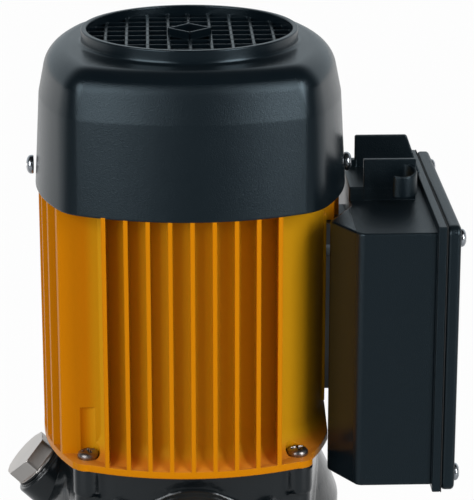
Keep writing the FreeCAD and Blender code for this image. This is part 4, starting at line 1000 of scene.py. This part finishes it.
    def ring(self, rise: float, inset: float, share: float = 0.0, radius: float = 0.0,
             lift: float = 0.0) -> list[Triple]:
        """One row of points round the axis.

        Args:
            rise: the height above the foot.
            inset: how far inside the outer skin.
            share: how far the row has gone from the cowl's plan to a circle.
            radius: that circle's radius.
            lift: how much higher the row lies.

        Returns:
            The points of the row.
        """
        points = []
        for quarter in range(4):
            for step in range(self.quarter_steps):
                turn = TURN / 4 * step / self.quarter_steps
                out = radius
                if share < 1:
                    own = self.reach(min(turn, TURN / 4 - turn), max(rise, 0.0), inset)
                    out = own + (radius - own) * share
                angle = turn + quarter * TURN / 4
                points.append((self.offset + out * math.cos(angle), out * math.sin(angle),
                               self.foot + rise + lift))
        return points

    def add_grid(self, work: Workpiece) -> None:
        """Add the bars inside the rim and the hub in the middle.

        Args:
            work: the mesh to add to.
        """
        low = self.foot + self.height + self.rim_height - self.grid_drop - self.grid_depth
        high = low + self.grid_depth
        reach = self.rim_inner + self.grid_bite
        middle = self.offset
        wide_round, thin_round = self.bar_round
        for number in range(self.grid_count):
            place = (number - (self.grid_count - 1) / 2) * self.grid_pitch
            end = math.sqrt(reach ** 2 - place ** 2)
            half = self.bar_wide / 2
            work.block((middle + place - half, -end, low), (middle + place + half, end, high),
                       wide_round)
            half = self.bar_thin / 2
            work.block((middle - end, place - half, low), (middle + end, place + half, high),
                       thin_round)
        cornerwise = Matrix.Translation((self.offset, 0, 0)) @ Matrix.Rotation(TURN / 8, 4, "Z")
        half = self.hub_half
        inner = half - self.hub_wall
        work.prism(rectangle(-half, -half, half, half), cornerwise, low - self.hub_drop, high,
                   self.hub_round)
        rise = high + self.hub_rise
        for side in range(4):
            turn = cornerwise @ Matrix.Rotation(TURN / 4 * side, 4, "Z")
            work.prism(rectangle(-half, inner, half, half), turn, low, rise, thin_round)


def soft_min(numbers: Sequence[float], blend: float) -> float:
    """Take the least of several numbers, eased where two come close.

    Args:
        numbers: the numbers.
        blend: how wide the easing is.

    Returns:
        The least, or a little less.
    """
    least = min(numbers)
    total = sum(math.exp(-(number - least) / blend) for number in numbers)
    return least - blend * math.log(total)


@dataclass
class Castings:
    """The black enamelled castings, whose edges are softened as a foundry leaves them."""

    voxel: float = 1.0
    passes: int = 5
    strength: float = 0.5
    sharp_angle: float = 180.0

    def build(self, palette: Palette) -> None:
        """Soften each casting."""
        for node, name in (("pump_head", "head_casting"), ("base_casting", "foot_casting")):
            self.soften(node, name, palette)

    def soften(self, node: str, name: str, palette: Palette) -> None:
        """Copy a CAD casting with rounded edges and fillets.

        Args:
            node: the CAD node.
            name: the new piece's name.
            palette: the built materials.
        """
        source = frame["nodes"][node]
        copy = put(name + "_blank", source.data.copy())
        remesh = copy.modifiers.new("even", "REMESH")
        remesh.mode = "VOXEL"
        remesh.voxel_size = self.voxel * MM
        smooth = copy.modifiers.new("soften", "SMOOTH")
        smooth.factor = self.strength
        smooth.iterations = self.passes
        view = bpy.context.evaluated_depsgraph_get()
        mesh = bpy.data.meshes.new_from_object(copy.evaluated_get(view))
        mesh.name = name
        bpy.data.objects.remove(copy)
        settle(name, mesh, Body.ROOT, Slot.BLACK_ENAMEL, palette, [node], self.sharp_angle)


@dataclass
class Screws:
    """Pan-head screws with a cross recess."""

    rings: int = 22
    steps: int = 72
    arm_half: float = 0.15
    arm_reach: float = 0.60
    recess: float = 0.42
    seat_round: float = 0.12
    seat_share: float = 0.97
    crown: float = 0.72
    crown_power: float = 1.25
    sharp_angle: float = 60.0
    arm_turn: float = 0.35
    recess_end: float = 1.12
    recess_slope: float = 0.35
    flange_head: Pair = (4.8, 3.6)
    cowl_head: Pair = (4.3, 3.2)
    lid_head: Pair = (4.0, 2.8)

    def build(self, palette: Palette) -> None:
        """Make the flange, cowl and lid screws where the CAD has them.

        Args:
            palette: the built materials.
        """
        for node, name, slot in (("housing_screws", "flange_screws", Slot.DARK_STEEL),
                                 ("cowl_screws", "cowl_side_screws", Slot.ZINC_STEEL),
                                 ("lid_screws", "lid_pan_screws", Slot.ZINC_STEEL)):
            work = Workpiece()
            for place, way, radius, thick in self.heads(node):
                self.add_head(work, place, way, radius, thick)
            work.finish(name, Body.ROOT, slot, palette, [node], self.sharp_angle)

    def heads(self, node: str) -> list[tuple[Vector, Vector, float, float]]:
        """Find where the heads of a CAD node sit.

        Args:
            node: the CAD node.

        Returns:
            Each head's seat, direction, radius and thickness.
        """
        low, high = box_mm(node)
        if node == "housing_screws":
            radius, thick = self.flange_head
            seat = high.z - thick
            x, y = high.x - radius, high.y - radius
            return [(Vector((across, out, seat)), Vector((0, 0, 1)), radius, thick)
                    for across in (-x, x) for out in (-y, y)]
        if node == "cowl_screws":
            radius, thick = self.cowl_head
            level = (low.z + high.z) / 2
            return [(Vector((seat, 0, level)), Vector((side, 0, 0)), radius, thick)
                    for side, seat in ((-1, low.x + thick), (1, high.x - thick))]
        radius, thick = self.lid_head
        return [(Vector((high.x - thick, y, z)), Vector((1, 0, 0)), radius, thick)
                for y in (low.y + radius, high.y - radius)
                for z in (low.z + radius, high.z - radius)]

    def add_head(self, work: Workpiece, place: Vector, way: Vector, radius: float,
                 thick: float) -> None:
        """Add one head.

        Args:
            work: the mesh to add to.
            place: the middle of its seat.
            way: where it points.
            radius: its radius.
            thick: its thickness.
        """
        rows = []
        for ring in range(self.rings + 1):
            angle = ring / self.rings * TURN / 4
            sink = thick * self.crown * (1 - math.cos(angle)) ** self.crown_power
            rows.append((radius * math.sin(angle), thick - sink))
        rows += [(radius, thick * self.seat_round), (radius * self.seat_share, 0.0)]
        turn = Matrix.Translation(place) @ facing(way) @ Matrix.Rotation(self.arm_turn, 4, "Z")
        work.skin([[(u, v, level - self.depth(u, v, radius))
                    for u, v, level in circle(out, level, self.steps)]
                   for out, level in rows], turn=turn)

    def depth(self, u: float, v: float, radius: float) -> float:
        """Measure the cross recess at a spot of the head.

        Args:
            u: the spot's place along one arm.
            v: its place along the other arm.
            radius: the head's radius.

        Returns:
            The depth.
        """
        arm = min(max(abs(u) / self.arm_half, abs(v) / self.arm_reach),
                  max(abs(v) / self.arm_half, abs(u) / self.arm_reach)) / radius
        share = min(max((self.recess_end - arm) / self.recess_slope, 0.0), 1.0)
        return self.recess * radius * share


@dataclass
class FillerPlug:
    """The filler plug, and the turned boss that it closes with a washer between them."""

    tilt: float = 44.0
    face_across: float = 71.4
    face_drop: float = 21.7
    washer: float = 1.0
    collar: float = 1.2
    head: float = 7.3
    flats: float = 22.6
    crown: float = 12.5
    chamfer: float = 1.0
    cone_slope: float = 1.9
    corner_share: float = 1.135
    draw: float = 0.35
    foot_inset: float = 1.0
    face_inset: float = 0.35
    head_sink: float = 0.05
    pitch: float = 1.4
    thread_depth: float = 0.75
    thread_start: float = 0.8
    thread_end: float = 1.5
    thread_crest: Pair = (0.6, 0.8)
    shank_lead: float = 1.2
    collar_edges: Pair = (0.3, 0.2)
    collar_radius: float = 12.6
    shank_radius: float = 8.1
    shank: float = 13.0
    boss_radius: float = 14.9
    boss_bore: float = 8.7
    boss_round: float = 1.1
    boss_proud: float = 0.02
    boss_long: float = 22.0
    boss_steps: int = 6
    bore_ease: float = 0.4
    corner_turn: float = 5.0
    steps: int = 96
    boss_sharp: float = 50.0
    plug_sharp: float = 30.0
    foot_ease: float = 0.3
    cone_band: float = 1.2
    cone_step: float = 0.2
    cone_rows: int = 7
    chamfer_rows: tuple[float, ...] = (0.2, 0.4, 0.6, 0.8, 0.95)

    def build(self, palette: Palette) -> None:
        """Make the boss and the plug.

        Args:
            palette: the built materials.
        """
        tilt = math.radians(self.tilt)
        way = Vector((-math.cos(tilt), 0, math.sin(tilt)))
        flange = box_mm("motor_housing")[0].z
        place = Vector((-self.face_across, 0, flange - self.face_drop))
        self.add_boss(palette, place, way)
        self.add_plug(palette, place, way)

    def add_boss(self, palette: Palette, place: Vector, way: Vector) -> None:
        """Add the boss, a ring with a rounded outer edge.

        Args:
            palette: the built materials.
            place: where the axis meets the boss's face.
            way: where the axis points.
        """
        work = Workpiece()
        out, bore, deep = self.boss_radius, self.boss_bore, -self.boss_long
        turn, proud = self.boss_round, self.boss_proud
        face = [(bore, deep), (out, deep)] + arc((out - turn, proud - turn), turn, 0, 90,
                                                 self.boss_steps)
        face += [(bore + self.bore_ease, proud), (bore, -self.bore_ease), (bore, deep)]
        work.lathe(face, place, way, self.steps)
        work.finish("filler_boss", Body.ROOT, Slot.BLACK_ENAMEL, palette, (), self.boss_sharp)

    def add_plug(self, palette: Palette, place: Vector, way: Vector) -> None:
        """Add the threaded shank, the collar and the hexagon with its chamfered face.

        Args:
            palette: the built materials.
            place: where the axis meets the boss's face.
            way: where the axis points.
        """
        work = Workpiece()
        end, out, root = -self.shank, self.shank_radius, self.shank_radius - self.thread_depth
        thread = [(0.0, end), (out - self.shank_lead, end)]
        for number in range(int((self.shank - self.thread_end) / self.pitch)):
            level = end + self.thread_start + number * self.pitch
            thread += [(root, level), *((out, level + rise) for rise in self.thread_crest)]
        foot, rim = self.washer, self.collar_radius
        back = foot + self.collar
        under, over = self.collar_edges
        thread += [(root, foot), (rim - under, foot), (rim, foot + under), (rim, back - over),
                   (rim - over, back), (0.0, back)]
        work.lathe(thread, place, way, self.steps)
        base = back - self.head_sink
        top = base + self.head
        rows = [(base, self.foot_inset), (base + self.foot_ease, 0.0)]
        rows += [(top - self.chamfer - self.cone_band + step * self.cone_step, 0.0)
                 for step in range(self.cone_rows)]
        rows += [(top - self.chamfer * (1 - share), 0.0) for share in self.chamfer_rows]
        rings = [self.hexagon(level, top, inset) for level, inset in rows]
        rings += [circle(self.crown - self.face_inset, top, self.steps), circle(0.0, top, 1)]
        work.skin(rings, capped=True, turn=Matrix.Translation(place) @ self.toward_front(way))
        work.finish("filler_hex_plug", Body.FILLER, Slot.PLATED_BRASS, palette, ["filler_plug"],
                    self.plug_sharp)

    def hexagon(self, level: float, top: float, inset: float) -> list[Triple]:
        """One row of the hexagon, whose first point is a corner, cut back near the face by a cone.

        Args:
            level: the row's height.
            top: the face's height.
            inset: how far the row is drawn in, in shares of its draw.

        Returns:
            The points of the row.
        """
        cone = self.crown + (top - level) * self.cone_slope
        ring = []
        for x, y, height in circle(1.0, level, self.steps):
            turn = (math.atan2(y, x) + TURN + TURN / 12) % (TURN / 6) - TURN / 12
            flat = (self.flats / 2 - inset * self.draw) / math.cos(TURN / 12 - abs(turn))
            out = min(flat, cone, self.flats / 2 * self.corner_share)
            ring.append((out * x, out * y, height))
        return ring

    def toward_front(self, way: Vector) -> Matrix:
        """Turn the plug so that a corner is near the front.

        Args:
            way: where the plug's axis points.

        Returns:
            A turn that takes Z to the axis and X to the front, less the corner's turn.
        """
        front = Vector((0, -1, 0))
        side = way.cross(front)
        turn = Matrix((front, side, way)).transposed().to_4x4()
        return turn @ Matrix.Rotation(math.radians(self.corner_turn), 4, "Z")


@dataclass
class TerminalBox:
    """The terminal box: a body with a wing, a deck, a cable hood, a wall with a clip, and a lid."""

    half: float = 62.0
    front_x: float = 73.3
    wing_x: float = 60.8
    wing_y: float = 41.8
    back_x: float = 72.2
    back_y: float = 19.2
    rim_x: float = 106.8
    rim_thick: float = 3.8
    rim_over: float = 2.0
    rim_drop: float = 2.7
    rim_rise: float = 3.2
    tall: float = 118.5
    deck_long: float = 30.4
    deck_front: float = 10.7
    deck_back: float = 27.4
    deck_rise: float = 6.2
    wall_x: float = 78.7
    wall_long: float = 23.8
    wall_thick: float = 2.4
    wall_rise: float = 19.2
    wall_proud: float = 0.12
    hood_x: float = 77.5
    hood_long: float = 24.2
    hood_slope: float = 7.7
    hood_y: float = 23.4
    hood_thick: float = 2.4
    hood_rise: float = 21.3
    curb_x: float = 74.7
    curb_long: float = 3.8
    curb_rise: float = 3.5
    clip_inner: float = 5.7
    clip_wall: float = 1.3
    clip_across: float = 95.3
    clip_tall: float = 9.5
    clip_slant: float = 2.7
    clip_lift: float = 4.5
    clip_steps: int = 40
    clip_ends: Pair = (-128.0, 100.0)
    clip_pinch: float = 0.72
    clip_flat: float = 0.6
    clip_ease: float = 0.0525
    lid_crown: float = 1.8
    lid_corner: float = 4.0
    lid_segments: int = 5
    root: float = 1.0
    body_round: Pair = (1.1, 2.2)
    rim_round: float = 0.55
    deck_round: float = 0.8
    wall_round: Pair = (0.6, 0.4)
    hood_round: Pair = (0.7, 1.0)
    curb_round: float = 0.5

    def build(self, palette: Palette) -> None:
        """Make the box body and its lid.

        Args:
            palette: the built materials.
        """
        low = box_mm("terminal_box")[0]
        self.foot = low.z + self.rim_drop
        self.top = self.foot + self.tall
        work = Workpiece()
        self.add_body(work)
        self.add_top(work)
        self.add_clip(work)
        work.finish("box_moulding", Body.ROOT, Slot.BLACK_MOULDING, palette, ["terminal_box"])
        self.build_lid(palette)

    def add_body(self, work: Workpiece) -> None:
        """Add the body and the rim that the lid closes on.

        Args:
            work: the mesh to add to.
        """
        right = self.rim_x + self.root
        plan = [(right, -self.half), (right, self.half), (self.back_x, self.half),
                (self.back_x, -self.back_y), (self.wing_x, -self.wing_y),
                (self.front_x, -self.half)]
        work.prism(plan, Matrix(), self.foot, self.top, *self.body_round)
        over = self.half + self.rim_over
        work.block((self.rim_x, -over, self.foot - self.rim_drop),
                   (self.rim_x + self.rim_thick, over, self.top + self.rim_rise),
                   self.rim_round)

    def add_top(self, work: Workpiece) -> None:
        """Add the deck, the wall, the hood and the curb.

        Args:
            work: the mesh to add to.
        """
        foot = self.top - self.root
        deck = self.top + self.deck_rise
        work.block((self.back_x, -self.deck_front, foot),
                   (self.back_x + self.deck_long, self.deck_back, deck), self.deck_round)
        work.block((self.wall_x, -self.deck_front - self.wall_proud, foot),
                   (self.wall_x + self.wall_long, self.wall_thick - self.deck_front,
                    self.top + self.wall_rise), *self.wall_round)
        side = self.hood_x + self.hood_long
        lean = self.hood_slope / self.hood_rise
        high = self.top + self.hood_rise
        hood = [(self.hood_x, foot), (side + self.hood_slope + lean, foot), (side, high),
                (self.hood_x, high)]
        work.prism(hood, UPRIGHT, -(self.hood_y + self.hood_thick), -self.hood_y,
                   *self.hood_round)
        work.block((self.curb_x, self.hood_y, foot),
                   (self.curb_x + self.curb_long, self.deck_back, deck + self.curb_rise),
                   self.curb_round)

    def add_clip(self, work: Workpiece) -> None:
        """Add the cable clip, open to the left, with its top slanting up to the wall.

        Args:
            work: the mesh to add to.
        """
        centre = (self.clip_across, -(self.deck_front + self.clip_inner))
        outer = self.clip_inner + self.clip_wall
        low = self.top + self.clip_lift
        steps = self.clip_steps
        start, end = self.clip_ends
        front = centre[1] - outer
        span = -self.deck_front - front
        sections = []
        for step in range(steps + 1):
            angle = math.radians(start + (end - start) * step / steps)
            pinch = self.clip_pinch if step in (0, steps) else 1.0
            middle = (self.clip_inner + outer) / 2
            ring = []
            for radius, level in self.clip_section(pinch):
                x = centre[0] + (middle + radius) * math.cos(angle)
                y = centre[1] + (middle + radius) * math.sin(angle)
                share = min(max((y - front) / span, 0.0), 1.0)
                tall = self.clip_tall + self.clip_slant * share
                ring.append((x, y, low + level * tall))
            sections.append(ring)
        work.skin(sections)
        for ring in (sections[0], sections[-1]):
            cap = bmesh.new()
            cap.faces.new([cap.verts.new(point) for point in ring])
            work.absorb(cap)

    def clip_section(self, pinch: float) -> list[Pair]:
        """Draw the clip's cross-section.

        Args:
            pinch: how much of the wall's thickness it keeps.

        Returns:
            Its corners: each one's offset from the middle line and share of the height.
        """
        half, ease = self.clip_wall / 2 * pinch, self.clip_ease
        flat = half * self.clip_flat
        return [(-half, ease), (-flat, 0.0), (flat, 0.0), (half, ease), (half, 1 - ease),
                (flat, 1.0), (-flat, 1.0), (-half, 1 - ease)]

    def build_lid(self, palette: Palette) -> None:
        """Make the lid: a plate with rounded corners and a crowned outer face.

        Args:
            palette: the built materials.
        """
        low, high = box_mm("box_lid")
        work = Workpiece()
        plan = rectangle(low.y, low.z, high.y, high.z)
        work.prism(plan, SIDEWAYS, low.x, high.x, self.lid_crown, self.lid_corner,
                   self.lid_segments)
        work.finish("lid_moulding", Body.ROOT, Slot.BLACK_MOULDING, palette, ["box_lid"])


@dataclass
class Studio:
    """Floor, lights and the camera, placed as the photograph has them."""

    camera_from_flange: Triple = (-17.2, -1027.4, 412.2)
    yaw: float = 2.17
    pitch: float = 17.7
    focal_px: float = 2340.0
    picture_height_px: float = 500.0
    sensor_height: float = 24.0
    floor_half: float = 14.0
    floor_colour: Triple = (0.32, 0.32, 0.32)
    floor_roughness: float = 0.6
    floor_levels: Pair = (0.03, 0.7)
    floor_reach: Pair = (-0.1, 0.5)
    floor_glow: float = 0.98
    gloss_levels: Pair = (0.04, 0.62)
    gloss_reach: Pair = (0.05, 0.7)
    ceiling_reach: Pair = (0.42, 0.88)
    soft_levels: Pair = (0.42, 0.5)
    soft_reach: Pair = (-0.3, 0.7)
    room_colour: Triple = (0.84, 0.94, 1.0)
    lamp_colour: Triple = (0.93, 0.97, 1.0)
    lamp_distance: float = 1.6
    lamp_aim: float = 0.33
    lamp_rise: float = 19.5
    # The azimuth, size and power of each lamp.
    left_box: tuple[float, Pair, float] = (-43.0, (1.1, 1.15), 15.5)
    right_box: tuple[float, Pair, float] = (47.0, (0.66, 1.15), 16.0)
    view_end: float = 60.0

    def build(self) -> None:
        """Make the whole studio."""
        self.build_camera()
        self.build_floor()
        self.build_world()
        self.build_light("left_box", *self.left_box)
        self.build_light("right_box", *self.right_box)
        LOG.info("studio ready")

    def build_camera(self) -> None:
        """Put the camera where the photograph was taken, with the same field of view."""
        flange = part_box("motor_housing")[0].z
        data = bpy.data.cameras.new("camera")
        data.sensor_fit = "VERTICAL"
        data.sensor_height = self.sensor_height
        data.lens = self.focal_px * self.sensor_height / self.picture_height_px
        data.clip_end = self.view_end
        camera = put("camera", data)
        x, y, z = self.camera_from_flange
        camera.location = (x * MM, y * MM, flange + z * MM)
        camera.rotation_euler = (math.radians(90 - self.pitch), 0, -math.radians(self.yaw))
        bpy.context.scene.camera = camera

    def build_floor(self) -> None:
        """A pale floor, white to the camera, that still takes the pump's shadow."""
        mesh = bpy.data.meshes.new("floor")
        half = self.floor_half
        corners = [(x, y, 0) for x, y in rectangle(-half, -half, half, half)]
        mesh.from_pydata(corners, [], [(0, 1, 2, 3)])
        floor = put("floor", mesh)
        finish = Finish("pale_floor")
        finish.dress({"Base Color": self.floor_colour, "Roughness": self.floor_roughness})
        glow = finish.node("Emission", {"Color": (1, 1, 1)})
        back = finish.part(finish.node("NewGeometry").outputs["Position"], "Y")
        level = finish.ramp(back, self.floor_reach, self.floor_levels)
        path = finish.node("LightPath").outputs
        bent = finish.math("MAXIMUM", path["Is Transmission Ray"], path["Is Glossy Ray"])
        seen = finish.math("MAXIMUM", finish.math("MULTIPLY", bent, level),
                           path["Is Camera Ray"])
        mix = finish.node("MixShader", {0: finish.math("MULTIPLY", seen, self.floor_glow),
                                        1: finish.shader.outputs[0], 2: glow.outputs[0]})
        finish.feed(finish.tree.nodes["Material Output"].inputs["Surface"], mix.outputs[0])
        mesh.materials.append(finish.material)

    def build_world(self) -> None:
        """White to the camera; for gloss a cool room, dark in front and above, pale behind."""
        world = bpy.data.worlds.new("room")
        bpy.context.scene.world = world
        world.use_nodes = True
        wiring = Wiring(world.node_tree)
        way = wiring.node("TexCoord").outputs["Generated"]
        back = wiring.part(way, "Y")
        gloss = wiring.math("MULTIPLY", wiring.ramp(back, self.gloss_reach, self.gloss_levels),
                            wiring.ramp(wiring.part(way, "Z"), self.ceiling_reach, (1.0, 0.0)))
        soft = wiring.ramp(back, self.soft_reach, self.soft_levels)
        path = wiring.node("LightPath").outputs
        room = wiring.choose(path["Is Glossy Ray"], soft, gloss)
        sky = world.node_tree.nodes["Background"].inputs
        wiring.feed(sky["Strength"], wiring.choose(path["Is Camera Ray"], room, 1.0))
        wiring.feed(sky["Color"],
                    wiring.blend(path["Is Camera Ray"], self.room_colour, (1, 1, 1)))

    def build_light(self, name: str, azimuth: float, size: Pair, power: float) -> None:
        """A soft box that points at the motor.

        Args:
            name: the lamp's name.
            azimuth: degrees to the right of the front.
            size: its width and height, in metres.
            power: its power, in watts.
        """
        data = bpy.data.lights.new(name, "AREA")
        data.shape = "RECTANGLE"
        data.size, data.size_y = size
        data.energy = power
        data.color = self.lamp_colour
        lamp = put(name, data)
        turn, lift = math.radians(azimuth), math.radians(self.lamp_rise)
        away = Vector((math.sin(turn) * math.cos(lift), -math.cos(turn) * math.cos(lift),
                       math.sin(lift)))
        lamp.location = Vector((0, 0, self.lamp_aim)) + self.lamp_distance * away
        lamp.rotation_euler = (-away).to_track_quat("-Z", "Y").to_euler()


def main() -> None:
    """Build the studio, dress the frame and add the modelled pieces."""
    logging.basicConfig(level=logging.INFO, format="%(name)s: %(message)s")
    bpy.context.scene.view_settings.view_transform = "Standard"
    Studio().build()
    palette = Palette(FINISHES)
    palette.dress_frame()
    FanCowl().build(palette)
    Castings().build(palette)
    Screws().build(palette)
    FillerPlug().build(palette)
    TerminalBox().build(palette)


if __name__ == "__main__":
    main()
